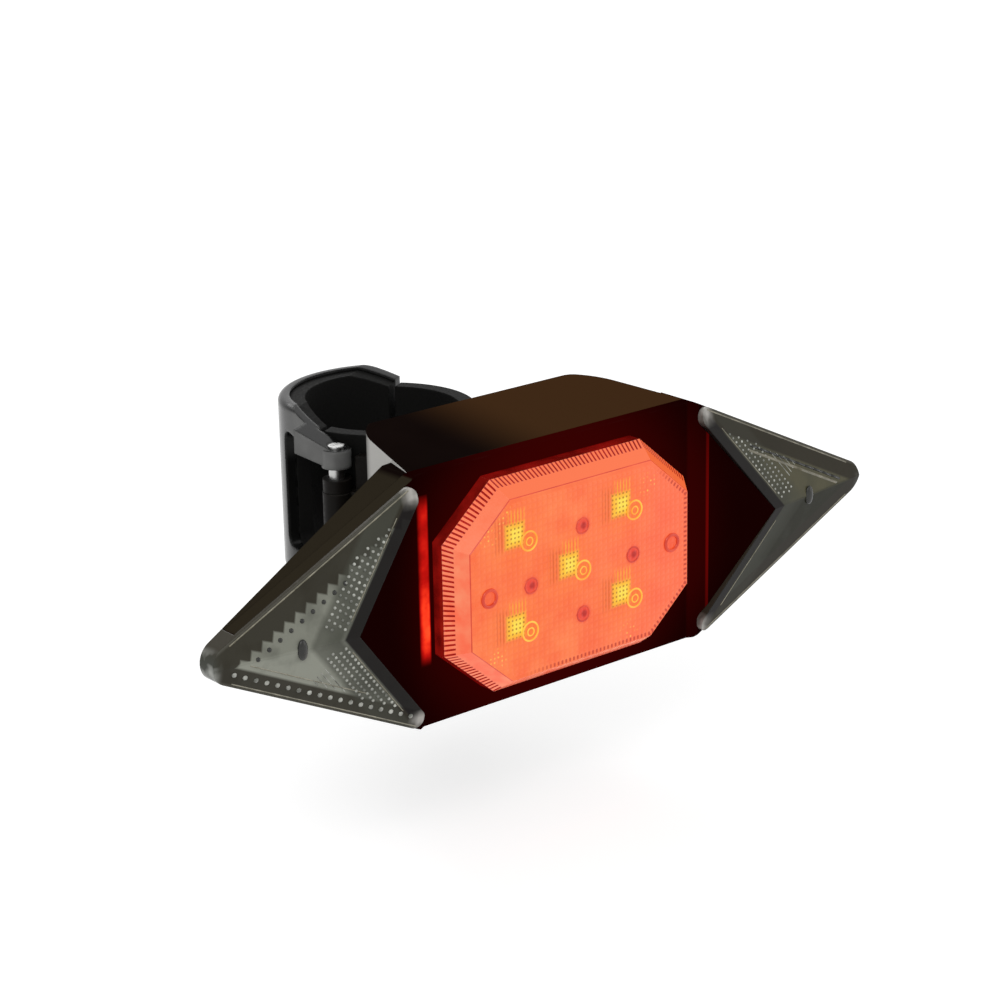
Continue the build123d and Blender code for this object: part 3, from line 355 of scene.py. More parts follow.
def lens_glow():
    """The lit lens: warm red with yellow squares over the lights, cut up by the prism grid."""
    make = surface("tail_lens_glow", LENS_CLEAR_RED, 0.16, rgb(0.3, 0.1, 0.05), grain=900, bump=0.05,
                   shade=0.2, gloss=0.25, coat=0.08, edge=0.15)
    place = make.place_mm()
    across, _, up = make.parts(place)

    def squares(centres, near, far):
        """1 in a square round each centre, fading to 0 between two distances."""
        total = 0.0
        for x, z in centres:
            reach = make.math("MAXIMUM", make.size(make.minus(across, x)), make.size(make.minus(up, z)))
            total = make.math("MAXIMUM", total, make.remap(reach, near, far, 1.0, 0.0, True))
        return total

    def rounds(centres, near, far):
        """The same with round spots."""
        total = 0.0
        for x, z in centres:
            reach = make.vector("LENGTH", make.vector("SUBTRACT", place, (x, LENS_FRONT, z)))
            total = make.math("MAXIMUM", total, make.remap(reach, near, far, 1.0, 0.0, True))
        return total

    def bars(value, step, inner, outer):
        """1 on bars across one direction, 0 between them."""
        return make.remap(make.off_middle(value, step), inner, outer, 1.0, 0.0)

    def comb(value, step):
        return bars(value, step, 0.16, 0.3)

    def dots(inner, outer):
        """1 on a square grid of round dots, 0 between them."""
        gaps = [make.off_middle(value, DOT_PITCH) for value in (across, up)]
        reach = make.math("SQRT", make.plus(*[make.times(gap, gap) for gap in gaps]))
        return make.remap(reach, inner, outer, 1.0, 0.0)

    # Red field, pinker to the right, with a warm halo round each light
    seen = moved(LIGHTS, *SEEN_SHIFT)
    cells = make.times(bars(across, GRID_PITCH, 0.26, 0.46), bars(up, GRID_PITCH, 0.26, 0.46))
    mottle = make.remap(make.noise(230, 3), 0.32, 0.68)
    glow = make.mix(mottle, rgb(0.96, 0.145, 0.038), rgb(1.0, 0.225, 0.066))
    glow = make.mix(make.remap(across, -4.0, 16.0, 0.0, 0.6), glow, rgb(1.0, 0.150, 0.072))
    halo = make.times(rounds(seen, 0.5, 8.5), make.remap(cells, 0, 1, 0.6, 1.0))
    glow = make.lay(glow, halo, 0.7, rgb(1.0, 0.200, 0.030))

    # Yellow squares with fine lines beside and above them, and a grid of dark dots
    fine = comb(across, COMB_PITCH)
    beside = make.times(squares(moved(seen, -1.3, 0.4), 1.6, 3.4), fine)
    glow = make.lay(glow, beside, 0.6, rgb(0.62, 0.10, 0.010))
    above = make.times(squares(moved(seen, 0.4, 2.2), 1.0, 2.2), fine)
    glow = make.lay(glow, above, 0.7, rgb(1.0, 0.42, 0.030))
    glow = make.lay(glow, squares(seen, 1.3, 2.3), 0.95, rgb(1.0, 0.56, 0.025))
    glow = make.lay(glow, squares(moved(seen, 0.3, 0), 0.5, 1.5), 0.9, rgb(1.0, 0.80, 0.075))
    glow = make.lay(glow, make.times(squares(seen, 1.7, 2.1), dots(0.17, 0.3)), 0.8, rgb(0.34, 0.13, 0.006))

    # Orange inside the rings, dark red bosses and small lights, and sparkles near the corners
    glow = make.lay(glow, rounds(LIGHTS, 1.1, 1.4), 0.55, rgb(0.95, 0.19, 0.012))
    glow = make.lay(glow, rounds(BOSSES, 1.0, 2.1), 0.5, rgb(0.88, 0.055, 0.012))
    glow = make.lay(glow, rounds(SMALL_LIGHTS, 0.7, 1.9), 0.8, rgb(0.80, 0.028, 0.024))
    glow = make.lay(glow, rounds(moved(SMALL_LIGHTS, 0.2, 0), 0.25, 0.8), 0.85, rgb(0.42, 0.008, 0.006))
    sparkle = make.times(dots(0.12, 0.30), make.remap(make.noise(900, 2), 0.44, 0.58))
    glow = make.lay(glow, make.times(rounds(SPARKLES, 0.8, 2.4), sparkle), 0.7, rgb(1.0, 0.62, 0.10))

    # Dark ticks inside the right, the lower and the right sloped edges
    height = make.size(up)
    outward = make.plus(make.times(across, CUT_LEAN_X), make.times(height, CUT_LEAN_Z))
    along = make.minus(make.times(across, CUT_LEAN_Z), make.times(height, CUT_LEAN_X))
    edges = (
        (make.minus(LENS_HALF_W - LENS_INSET, across), up),
        (make.plus(up, LENS_HALF_T - LENS_INSET), across),
        (make.minus(CUT_REACH - LENS_INSET, outward), along),
    )
    ticks = 0.0
    for gap, value in edges:
        tick = make.times(make.remap(gap, 0.85, 0.65), make.remap(gap, 0.05, 0.2), comb(value, RIB_PITCH))
        ticks = make.math("MAXIMUM", ticks, tick)
    ticks = make.times(ticks, make.remap(make.minus(across, up), 2.0, 9.0))
    glow = make.lay(glow, ticks, 0.75, rgb(0.42, 0.014, 0.007))
    glow = make.lay(glow, make.minus(1.0, cells), 0.07, rgb(0.62, 0.03, 0.008))
    make.paint(Emission_Color=glow, Emission_Strength=0.95)
    return make.material


def lens_part(name, low, high, strength, upper=None):
    """A plainer lit part of the lens between two reds, with another on its faces that look up."""
    make = surface(name, LENS_CLEAR_RED, 0.18, rgb(0.4, 0.12, 0.08), grain=1200, bump=0.06, shade=0.2,
                   gloss=0.35, coat=0.15, edge=0.1)
    glow = make.mix(make.remap(make.noise(320, 4), 0.35, 0.65), low, high)
    if upper:
        glow = make.mix(make.remap(make.parts(make.normal())[2], 0.3, 0.7), glow, upper)
    make.paint(Emission_Color=glow, Emission_Strength=strength)
    return make.material


def cover_finish():
    """Black shell, tinted red, with painted red light from the lens: a bright band on the left, a thin line
    on the right.
    """
    make = surface("front_cover_black", rgb(0.0030, 0.0005, 0.0005), 0.4, rgb(0.012, 0.006, 0.006),
                   shade=0.35, gloss=0.0)
    place = make.place_mm()
    across, _, up = make.parts(place)
    to_light = make.vector("SUBTRACT", (0.0, LENS_FRONT - LIGHT_AHEAD, 0.0), place)
    turned = make.vector("DOT_PRODUCT", make.vector("NORMALIZE", to_light), make.normal())

    # Painted red light: a bright band down the left side, fading at its ends and in the middle
    ends = make.plus(make.remap(up, 16.5, 14.0, 0.0, 0.45), make.remap(up, 3.5, -1.0, 0.0, 0.65))
    painted_red_band = make.times(
        make.remap(across, -25.1, -25.4),
        make.remap(across, -27.6, -26.2, 0.0, 1.0, True),
        make.times(ends, make.remap(up, -6.0, -10.5, 1.0, 0.0, True)),
        make.remap(turned, 0.1, 0.25),
        make.remap(make.noise(420, 3), 0.3, 0.7, 0.7, 1.3),
    )

    # Painted red light: a thin line on the right's bevel, and a faint red glow all over that is stronger
    # near the lens
    line = make.times(make.remap(across, 29.7, 29.9), make.remap(across, 30.4, 30.2), 0.10)
    right = make.times(
        make.plus(line, make.remap(across, 26.8, 27.2, 0.0, 0.012)),
        make.remap(turned, 0.5, 0.62),
    )
    near = make.times(make.remap(make.vector("LENGTH", to_light), 18.0, 36.0, 1.0, 0.0, True), 0.030)
    painted_red_spill = make.plus(make.times(painted_red_band, 1.15), near, right, 0.0055)

    # Painted daylight: the wing tops turn brown, without the red light
    rise = make.parts(make.normal())[2]
    painted_daylight_wing = make.times(make.remap(rise, 0.5, 0.7), make.remap(make.size(across), 28.2, 28.6))
    make.paint(
        Base_Color=make.mix(painted_daylight_wing, make.colour, PAINTED_DAYLIGHT_BROWN),
        Emission_Color=make.mix(make.remap(painted_red_band, 0.45, 1.1), rgb(1.0, 0.012, 0.008), rgb(1.0, 0.060, 0.016)),
        Emission_Strength=make.times(painted_red_spill, make.minus(1.0, painted_daylight_wing)),
    )
    return make.material


def housing_finish():
    """Matte black shell with painted light: brown painted where daylight falls from the right, and a pale
    painted highlight on the left side wall.
    """
    make = surface("rear_housing_black", rgb(0.0068, 0.0038, 0.0032), 0.5, rgb(0.030, 0.025, 0.020),
                   shade=0.35, gloss=0.0)
    across, _, up = make.parts(make.place_mm())
    sideways, _, rise = make.parts(make.normal())
    # Painted daylight: faces that look up turn brown, more so to the right
    flat = make.remap(rise, 0.6, 0.9)
    top = make.times(flat, make.remap(across, -15.0, 2.0, 0.0, 1.0, True))
    colour = make.lay(make.colour, top, 0.95, rgb(0.060, 0.027, 0.0105))
    # Painted daylight: the wing tops turn brown too
    painted_daylight_wing = make.times(flat, make.remap(across, -28.5, -29.5))
    colour = make.lay(colour, painted_daylight_wing, 0.9, PAINTED_DAYLIGHT_BROWN)
    # Painted highlight: the left side wall turns pale grey, fading out lower down
    side = make.times(make.remap(sideways, -0.80, -0.95), make.remap(across, -31.0, -29.0))
    pale = make.times(side, make.remap(up, -4.0, 7.0, 0.0, 0.95, True))
    make.paint(Base_Color=make.mix(pale, colour, rgb(0.66, 0.65, 0.62)))
    return make.material


def arrow_finish():
    """Unlit clear plastic over a pale sheet: grey-green field, dark borders, painted light and shade between
    the lenses, painted glints on a bright tip and painted highlights on the arm ends.
    """
    make = surface("arrow_lens_smoke", rgb(0.075, 0.078, 0.062), 0.14, rgb(0.34, 0.35, 0.31), grain=1500,
                   bump=0.05, gloss=0.06, edge=0.2)
    signed, _, up_signed = make.parts(make.place_mm())
    across, up = make.size(signed), make.size(up_signed)
    past_notch, from_tip = make.minus(across, NOTCH_X), make.minus(TIP_X, across)
    from_notch = make.plus(make.times(past_notch, NOTCH_LEAN_X), make.times(up, NOTCH_LEAN_Z))
    from_edge = make.minus(make.times(from_tip, EDGE_LEAN_X), make.times(up, EDGE_LEAN_Z))
    along = make.plus(make.times(from_tip, EDGE_LEAN_Z), make.times(up, EDGE_LEAN_X))
    right = make.remap(signed, -1.0, 1.0)

    # Mottled field, one colour for each half of each lens: painted light and shade, with the left lens
    # painted far lighter than its mirror twin on the right
    lower = make.remap(up_signed, 0.3, -0.3)
    left_field = make.mix(lower, rgb(0.280, 0.287, 0.240), rgb(0.410, 0.424, 0.360))
    right_field = make.mix(lower, rgb(0.112, 0.104, 0.062), rgb(0.020, 0.020, 0.009))
    field = make.remap(from_notch, 2.2, 6.5, 0.35, 0.95, True)
    colour = make.mix(field, make.colour, make.mix(right, left_field, right_field))
    colour = make.lay(colour, make.remap(make.noise(190, 4), 0.48, 0.66), 0.4, rgb(0.050, 0.052, 0.040))

    # Dark border, toothed along the left lens's upper edge, and dark strip beside the notch
    upper = make.remap(up_signed, -0.3, 0.3)
    teeth = make.times(make.off_middle(along, TOOTH_PITCH), upper, make.remap(right, 0, 1, 2.2, 0.0))
    border = make.remap(make.minus(from_edge, make.plus(2.9, teeth)), 0.25, -0.15)
    colour = make.lay(colour, border, 0.9, rgb(0.030, 0.025, 0.016))
    colour = make.lay(colour, make.remap(from_notch, 2.1, 1.8), 0.95, rgb(0.014, 0.012, 0.012))
    # Painted highlight: a paler line right along the outer edge
    colour = make.lay(colour, make.remap(from_edge, 0.5, 0.15), 0.5, rgb(0.15, 0.145, 0.12))

    # Dull ground under the beads, dark brown painted light on the upper wall, painted glints on the tip and
    # painted highlights on the arm ends
    ground = make.times(make.remap(from_notch, 2.3, 2.7), make.remap(from_notch, 6.6, 5.8))
    colour = make.lay(colour, ground, make.remap(right, 0, 1, 0.6, 0.2), rgb(0.085, 0.088, 0.070))
    # Painted light: faces that look up turn dark brown, like the wing tops
    rise = make.parts(make.normal())[2]
    colour = make.mix(make.remap(rise, 0.35, 0.6, 0.0, 0.85), colour, rgb(0.048, 0.042, 0.030))
    glint = make.remap(make.noise(330, 2), 0.42, 0.60)
    painted_tip_glint = make.remap(across, TIP_X - 5.5, TIP_X - 2.5, 0.0, 1.0, True)
    tip_glint_colour = make.mix(glint, rgb(0.09, 0.10, 0.085), rgb(0.88, 0.90, 0.84))
    colour = make.lay(colour, painted_tip_glint, make.remap(right, 0, 1, 0.9, 0.3), tip_glint_colour)
    painted_arm_highlight = make.times(make.remap(across, BODY_HALF + 3.4, BODY_HALF + 1.4), make.remap(up, 15.5, 17.0))
    arm_highlight_colour = make.mix(glint, rgb(0.22, 0.21, 0.19), rgb(0.62, 0.60, 0.56))
    make.paint(Base_Color=make.lay(colour, painted_arm_highlight, 0.9, arm_highlight_colour))
    return make.material


def strap_finish():
    """Glossy black band with a painted grey highlight towards its rim, where it faces the window light."""
    make = surface("strap_gloss_black", rgb(0.0060, 0.0060, 0.0058), 0.17, rgb(0.05, 0.05, 0.048),
                   bump=0.05, coat=0.06, gloss=0.14, edge=0.7, rough_span=0.05)
    across, deep, up = make.parts(make.place_mm())
    rise = make.size(make.parts(make.normal())[2])
    # Painted highlight: paler grey on the band's upper outer face
    pale = make.times(
        make.remap(up, 8.0, 11.5, 0.0, 1.0, True),
        make.remap(across, -2.0, -10.0),
        make.remap(rise, 0.55, 0.25),
        make.remap(deep, 7.0, -1.0, 0.0, 1.0, True),
        make.remap(make.noise(260, 3), 0.3, 0.7, 0.75, 1.0),
    )
    make.paint(Base_Color=make.mix(pale, make.colour, rgb(0.20, 0.20, 0.195)))
    return make.material


def clear_finish(name, low, high, rough=0.12):
    """Clear moulded prisms that catch the light."""
    make = surface(name, low, rough, high, grain=1800, bump=0.04, shade=0.25, edge_wear_and_highlight_share=0.8, coat=0.1,
                   gloss=0.4, edge=0.1)
    make.paint(Base_Color=make.mix(make.remap(make.noise(600, 3), 0.35, 0.65), low, high))
    return make.material


def plain(name, base, rough, edge_wear_and_highlight, **looks):
    """A finish that needs nothing beside its grain, shade and wear."""
    return surface(name, base, rough, edge_wear_and_highlight, **looks).material


def slot_finishes():
    """One finish for each of the record's material slots."""
    return {
        "black_shell": plain("shell_black", rgb(0.0075, 0.0062, 0.0052), 0.46, rgb(0.04, 0.035, 0.030),
                             shade=0.4, gloss=0.08),
        "strap_black": strap_finish(),
        "rubber_black": plain("rubber_black_soft", rgb(0.0062, 0.0060, 0.0056), 0.7,
                              rgb(0.025, 0.025, 0.024), bump=0.2, gloss=0.08),
        "tail_red": lens_part("tail_lens_plain", rgb(0.75, 0.05, 0.02), rgb(0.9, 0.09, 0.04), 0.6),
        "arrow_smoke": arrow_finish(),
        "tray_red": lens_part("tail_tray_red", rgb(0.6, 0.04, 0.015), rgb(0.8, 0.08, 0.03), 0.5),
        "sheet_white": plain("sheet_white_matte", rgb(0.72, 0.72, 0.70), 0.5, rgb(0.5, 0.5, 0.5),
                             shade=0.08),
        "board_black": plain("board_black_mask", rgb(0.02, 0.026, 0.022), 0.35, rgb(0.25, 0.2, 0.1)),
        "led_yellow": plain("led_yellow_gel", rgb(0.75, 0.52, 0.06), 0.25, rgb(0.8, 0.75, 0.6),
                            shade=0.15),
        "chip_black": plain("chip_black_resin", rgb(0.02, 0.02, 0.02), 0.5, rgb(0.1, 0.1, 0.1)),
        "cell_foil": plain("cell_foil_grey", rgb(0.45, 0.45, 0.47), 0.35, rgb(0.7, 0.7, 0.7), metal=0.7,
                           shade=0.15),
        "foam_black": plain("foam_black_open", rgb(0.02, 0.02, 0.02), 0.9, rgb(0.06, 0.06, 0.06),
                            bump=0.6, shade=0.4, gloss=0.1),
        "wire_red": plain("wire_red_sleeve", rgb(0.35, 0.02, 0.02), 0.4, rgb(0.5, 0.1, 0.1), shade=0.2),
        "steel": plain("steel_brushed", rgb(0.52, 0.52, 0.51), 0.3, rgb(0.75, 0.75, 0.74), metal=1.0,
                       bump=0.15, shade=0.2, grain=1500, stretch=(1, 1, 0.1)),
        "brass": plain("brass_turned", rgb(0.62, 0.44, 0.18), 0.3, rgb(0.8, 0.65, 0.35), metal=1.0,
                       shade=0.2),
    }


def octagon(grow):
    """Corners of the tail lens's outline, drawn larger by a length, anticlockwise from behind."""
    wide = LENS_HALF_W + grow
    tall = LENS_HALF_T + grow
    limit = CUT_REACH + grow
    flat_z = (limit - CUT_LEAN_X * wide) / CUT_LEAN_Z
    flat_x = (limit - CUT_LEAN_Z * tall) / CUT_LEAN_X
    right = [(wide, -flat_z), (wide, flat_z), (flat_x, tall)]
    left = [(-flat_x, tall), (-wide, flat_z), (-wide, -flat_z)]
    return right + left + [(-flat_x, -tall), (flat_x, -tall)]


def point(x, y, z):
    return Vector((x, y, z)) * MM


def mesh_object(name, mesh, body, materials, smooth=False):
    """Turns a bmesh into a named piece on its body."""
    bmesh.ops.recalc_face_normals(mesh, faces=mesh.faces)
    data = bpy.data.meshes.new(name)
    mesh.to_mesh(data)
    mesh.free()
    piece = bpy.data.objects.new(name, data)
    bpy.context.scene.collection.objects.link(piece)
    for material in materials:
        data.materials.append(material)
    if smooth:
        data.polygons.foreach_set("use_smooth", [True] * len(data.polygons))
    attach(piece, body)
    return piece


def lens_columns():
    """Places round the border: (edge, share along it, in a groove), land by land."""
    outer = octagon(0)
    columns = []
    for edge, (ax, az) in enumerate(outer):
        bx, bz = outer[(edge + 1) % len(outer)]
        count = round(math.hypot(bx - ax, bz - az) / RIB_PITCH)
        for rib in range(count):
            columns.append((edge, rib / count, False))
            columns.append((edge, (rib + LAND_END_SHARE) / count, False))
            columns.append((edge, (rib + GROOVE_SHARE) / count, True))
    return columns


# The border's slope in rows from its foot: share of the slope, share of the groove's depth
BORDER_ROWS = ((0.0, 0.0), (0.05, 1.0), (0.33, 1.0), (0.41, 0.0), (0.955, 0.0), (1.0, 0.0))
GROOVE_LAST_ROW = 3
GROOVE_IN_SHARE = 0.8
GROOVE_BACK_SHARE = 0.6

# Places of the finishes in the lens's list
GLOW, LAND, TICK, WALL, LINE = range(5)


def build_tail_lens(finishes):
    """Octagonal hollow lens: plain side wall, ribbed sloped border and flat front."""
    mesh = bmesh.new()
    outer = octagon(0)
    inner = octagon(-LENS_INSET)
    edge_y = LENS_FRONT + LENS_RISE
    columns = lens_columns()
    grid = []
    for edge, share, groove in columns:
        after = (edge + 1) % len(outer)
        a = Vector(outer[edge]).lerp(Vector(outer[after]), share)
        b = Vector(inner[edge]).lerp(Vector(inner[after]), share)
        along = (Vector(outer[after]) - Vector(outer[edge])).normalized()
        outward = Vector((along.y, -along.x))
        line = [mesh.verts.new(point(a.x, LENS_BACK, a.y))]
        for row, deep in BORDER_ROWS:
            sink = GROOVE_DEEP * deep if groove else 0.0
            spot = a.lerp(b, row) - outward * sink * GROOVE_IN_SHARE
            y = edge_y - LENS_RISE * row + sink * GROOVE_BACK_SHARE
            line.append(mesh.verts.new(point(spot.x, y, spot.y)))
        grid.append(line)

    def add_face(corners, finish):
        mesh.faces.new(corners).material_index = finish

    for index, here in enumerate(grid):
        after = (index + 1) % len(grid)
        there = grid[after]
        in_groove = columns[index][2] or columns[after][2]
        for row in range(len(BORDER_ROWS)):
            if row == 0:
                finish = WALL
            elif row == len(BORDER_ROWS) - 1:
                finish = LINE
            else:
                finish = TICK if in_groove and row <= GROOVE_LAST_ROW else LAND
            add_face((here[row], there[row], there[row + 1], here[row + 1]), finish)
    add_face([line[-1] for line in grid], GLOW)

    def add_corners(y, grow):
        return [mesh.verts.new(point(x, y, z)) for x, z in octagon(grow)]

    base = add_corners(LENS_BACK, -LENS_WALL)
    step = add_corners(edge_y, -LENS_WALL)
    top = add_corners(LENS_FRONT + LENS_WALL, -LENS_INSET - LENS_WALL / 2)
    for edge in range(len(outer)):
        after = (edge + 1) % len(outer)
        foot = [line[0] for line, column in zip(grid, columns) if column[0] == edge]
        next_foot = next(line[0] for line, column in zip(grid, columns) if column[0] == after)
        add_face(foot + [next_foot, base[after], base[edge]], WALL)
        add_face((base[edge], base[after], step[after], step[edge]), WALL)
        add_face((step[edge], step[after], top[after], top[edge]), WALL)
    add_face(top, WALL)
    piece = mesh_object("tail_lens_ribbed", mesh, "lamp", finishes)
    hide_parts("tail_lens")


def build_lens_prisms(glow):
    """Shallow square pyramids moulded over the lens's flat front."""
    mesh = bmesh.new()
    wide = math.ceil(LENS_HALF_W / GRID_PITCH)
    tall = math.ceil(LENS_HALF_T / GRID_PITCH)
    corner = {}
    for i in range(-wide, wide + 1):
        for j in range(-tall, tall + 1):
            corner[i, j] = mesh.verts.new(point(i * GRID_PITCH, LENS_FRONT, j * GRID_PITCH))
    for i in range(-wide, wide):
        for j in range(-tall, tall):
            mesh.faces.new((corner[i, j], corner[i + 1, j], corner[i + 1, j + 1], corner[i, j + 1]))
    limits = octagon(-LENS_INSET - PRISM_MARGIN)
    for a, b in zip(limits, limits[1:] + limits[:1]):
        bmesh.ops.bisect_plane(
            mesh,
            geom=mesh.verts[:] + mesh.edges[:] + mesh.faces[:],
            plane_co=point(a[0], LENS_FRONT, a[1]),
            plane_no=Vector((b[1] - a[1], 0, a[0] - b[0])).normalized(),
            clear_outer=True,
        )
    top = mesh.faces[:]
    rim = [edge for edge in mesh.edges if edge.is_boundary]
    made = bmesh.ops.extrude_edge_only(mesh, edges=rim)["geom"]
    low = [item for item in made if isinstance(item, bmesh.types.BMVert)]
    bmesh.ops.translate(mesh, verts=low, vec=point(0, PRISM_SUNK, 0))
    centres = bmesh.ops.poke(mesh, faces=top, offset=0)["verts"]
    bmesh.ops.translate(mesh, verts=centres, vec=point(0, -PRISM_TALL, 0))
    base = [edge for edge in mesh.edges if edge.is_boundary]
    bmesh.ops.edgeloop_fill(mesh, edges=base)
    mesh_object("tail_lens_prisms", mesh, "lamp", [glow])


def add_ring(mesh, x, y, z, radius, thick, steps=28, sides=8):
    """A round bead in the XZ plane."""
    loops = []
    for step in range(steps):
        turn = 2 * math.pi * step / steps
        loop = []
        for side in range(sides):
            swing = 2 * math.pi * side / sides
            out = radius + thick * math.cos(swing)
            deep = y + thick * math.sin(swing)
            loop.append(mesh.verts.new(point(x + out * math.cos(turn), deep, z + out * math.sin(turn))))
        loops.append(loop)
    for here, there in zip(loops, loops[1:] + loops[:1]):
        for side in range(sides):
            after = (side + 1) % sides
            mesh.faces.new((here[side], there[side], there[after], here[after]))


def build_lens_rings(ring, boss):
    """Rings moulded in the lens over each light, each small light and the two tray bosses."""
    y = LENS_FRONT - RING_LIFT
    mesh = bmesh.new()
    for x, z in LIGHTS:
        add_ring(mesh, x, y, z, *LIGHT_RING)
        add_ring(mesh, x + CORE_SHIFT, y + RING_LIFT, z - CORE_SHIFT, *LIGHT_CORE, steps=20, sides=6)
    mesh_object("tail_lens_light_rings", mesh, "lamp", [ring], smooth=True)
    mesh = bmesh.new()
    for x, z in BOSSES:
        add_ring(mesh, x, y, z, *BOSS_RING)
    for x, z in SMALL_LIGHTS:
        add_ring(mesh, x, y + SMALL_RING_SUNK, z, *SMALL_RING)
    mesh_object("tail_lens_boss_rings", mesh, "lamp", [boss], smooth=True)


class ArrowFace:
    """The front of one arrow lens, found by dropping points onto it along Y."""

    def __init__(self, side):
        self.side = side
        self.name = "right" if side > 0 else "left"
        mesh = NODES[self.name + "_arrow_lens"].data
        self.tree = BVHTree.FromPolygons([v.co for v in mesh.vertices], [p.vertices for p in mesh.polygons])

    def drop(self, x, z):
        """The point and outward direction on the lens at a place of the right lens, or None."""
        spot, normal, _, _ = self.tree.ray_cast(point(self.side * x, DROP_Y, z), Vector((0, 1, 0)))
        if spot is None:
            return None
        return spot, (normal if normal.y < 0 else -normal)


def from_notch(x, z):
    """The gap from the notch's edge to a place of the right lens."""
    return (x - NOTCH_X) * NOTCH_LEAN_X + abs(z) * NOTCH_LEAN_Z


def from_edge(x, z):
    """The gap from the outer edge to a place of the right lens."""
    return (TIP_X - x) * EDGE_LEAN_X - abs(z) * EDGE_LEAN_Z


def beside_notch(gap, along, half):
    """Place at a gap from the notch's edge and a distance along it, above or below."""
    x = NOTCH_X + gap * NOTCH_LEAN_X - along * NOTCH_LEAN_Z
    z = gap * NOTCH_LEAN_Z + along * NOTCH_LEAN_X
    return x, half * z


def beside_edge(gap, along, half):
    """Place at a gap inside the outer edge and a distance from the tip along it."""
    x = TIP_X - gap * EDGE_LEAN_X - along * EDGE_LEAN_Z
    z = -gap * EDGE_LEAN_Z + along * EDGE_LEAN_X
    return x, half * z


def add_bead(mesh, spot, normal, radius, tall, sides=7):
    """One round bead standing on a surface, sunk a little into it."""
    side = normal.cross(Vector((0, 0, 1))).normalized()
    rise = side.cross(normal).normalized()
    loops = []
    for share, lift in ((1.0, -SUNK), (0.92, 0.35 * tall), (0.6, 0.82 * tall)):
        loop = []
        for step in range(sides):
            swing = 2 * math.pi * step / sides
            reach = side * math.cos(swing) + rise * math.sin(swing)
            loop.append(mesh.verts.new(spot + (normal * lift + reach * radius * share) * MM))
        loops.append(loop)
    mesh.faces.new(loops[0])
    for low, high in zip(loops, loops[1:]):
        for step in range(sides):
            after = (step + 1) % sides
            mesh.faces.new((low[step], low[after], high[after], high[step]))
    mesh.faces.new(loops[-1])


def add_ridge(mesh, face, start, end, half, tall):
    """A three-sided ridge between two places on one facet, left out where it would be too short."""
    first, last = face.drop(*start), face.drop(*end)
    if first is None or last is None or (first[0] - last[0]).length < SHORTEST_RIDGE * MM:
        return
    along = (last[0] - first[0]).normalized()
    normal = first[1]
    side = along.cross(normal).normalized()
    loops = []
    for spot in (first[0], last[0]):
        low = spot - normal * SUNK * MM
        loops.append([
            mesh.verts.new(low - side * half * MM),
            mesh.verts.new(low + side * half * MM),
            mesh.verts.new(spot + normal * tall * MM),
        ])
    mesh.faces.new(loops[0])
    mesh.faces.new(loops[1])
    for corner in range(3):
        after = (corner + 1) % 3
        mesh.faces.new((loops[0][corner], loops[0][after], loops[1][after], loops[1][corner]))


def add_line(mesh, face, start, end, half, tall, parts=10):
    """A ridge in short runs, so that it follows a facet that isn't quite flat."""
    first, last = Vector(start), Vector(end)
    spots = [first.lerp(last, part / parts) for part in range(parts + 1)]
    for here, there in zip(spots, spots[1:]):
        add_ridge(mesh, face, here, there, half, tall)


def add_side_line(mesh, face, beside, line, half, ridge):
    """A line beside the outer edge or the notch, above or below."""
    gap, near, far = line
    add_line(mesh, face, beside(gap, near, half), beside(gap, far, half), *ridge)


def add_edge_beads(mesh, face, row, half, bead):
    """Beads beside the outer edge, except in the dark strip along the notch."""
    gap, first, pitch, count = row
    for step in range(count):
        x, z = beside_edge(gap, first + pitch * step, half)
        hit = face.drop(x, z)
        if from_notch(x, z) > STRIP_WIDTH and hit:
            add_bead(mesh, *hit, *bead)


def build_arrow_beads(face, finish):
    """Rows of beads along the notch. The right lens has them on its upper half alone."""
    left = face.side < 0
    mesh = bmesh.new()
    for half in (1, -1) if left else (1,):
        for row in range(BEAD_ROWS):
            gap = BEAD_GAP + row * BEAD_ROW_STEP
            for step in range(BEADS_IN_ROW):
                along = BEAD_START + BEAD_PITCH * (step + 0.5 * (row % 2)) - gap * BEAD_SLANT_SHARE
                x, z = beside_notch(gap, along, half)
                if half * z < BEAD_CLEAR_MIDDLE or from_edge(x, z) < BEAD_CLEAR_EDGE:
                    continue
                hit = face.drop(x, z)
                if hit:
                    add_bead(mesh, *hit, *(LEFT_BEAD if left else RIGHT_BEAD))
    if left:
        add_edge_beads(mesh, face, EDGE_ROW, -1, EDGE_BEAD)
    mesh_object(face.name + "_arrow_beads", mesh, "lamp", [finish], smooth=True)


def build_arrow_hatch(face, finish):
    """Fine lines side by side on the left lens's lower half and on the right lens's upper half."""
    mesh = bmesh.new()
    for line in range(HATCH_LINES):
        inside = []
        for sample in range(SAMPLES):
            x, z = beside_notch(HATCH_GAP + HATCH_STEP * line, sample * SAMPLE_STEP, face.side)
            clear = from_edge(x, z) > HATCH_CLEAR_EDGE and face.side * z > HATCH_CLEAR_MIDDLE
            if clear and x < HATCH_END_X:
                inside.append((x, z))
        if len(inside) > FEWEST_SAMPLES:
            add_line(mesh, face, inside[0], inside[-1], *HATCH_RIDGE, HATCH_RUNS)
    mesh_object(face.name + "_arrow_hatch", mesh, "lamp", [finish])


def build_arrow_ridges(face, finish):
    """Thin rims along the outer edge and the notch, and one bar beside the outer edge."""
    mesh = bmesh.new()
    for half in (1, -1):
        add_side_line(mesh, face, beside_edge, RIM_LINE, half, RIM_RIDGE)
        add_side_line(mesh, face, beside_notch, NOTCH_LINE, half, NOTCH_RIDGE)
    if face.side > 0:
        add_side_line(mesh, face, beside_edge, BAR_LINE, 1, BAR_RIDGE)
    else:
        add_side_line(mesh, face, beside_edge, FINE_LINE, -1, FINE_RIDGE)
    mesh_object(face.name + "_arrow_ridges", mesh, "lamp", [finish])


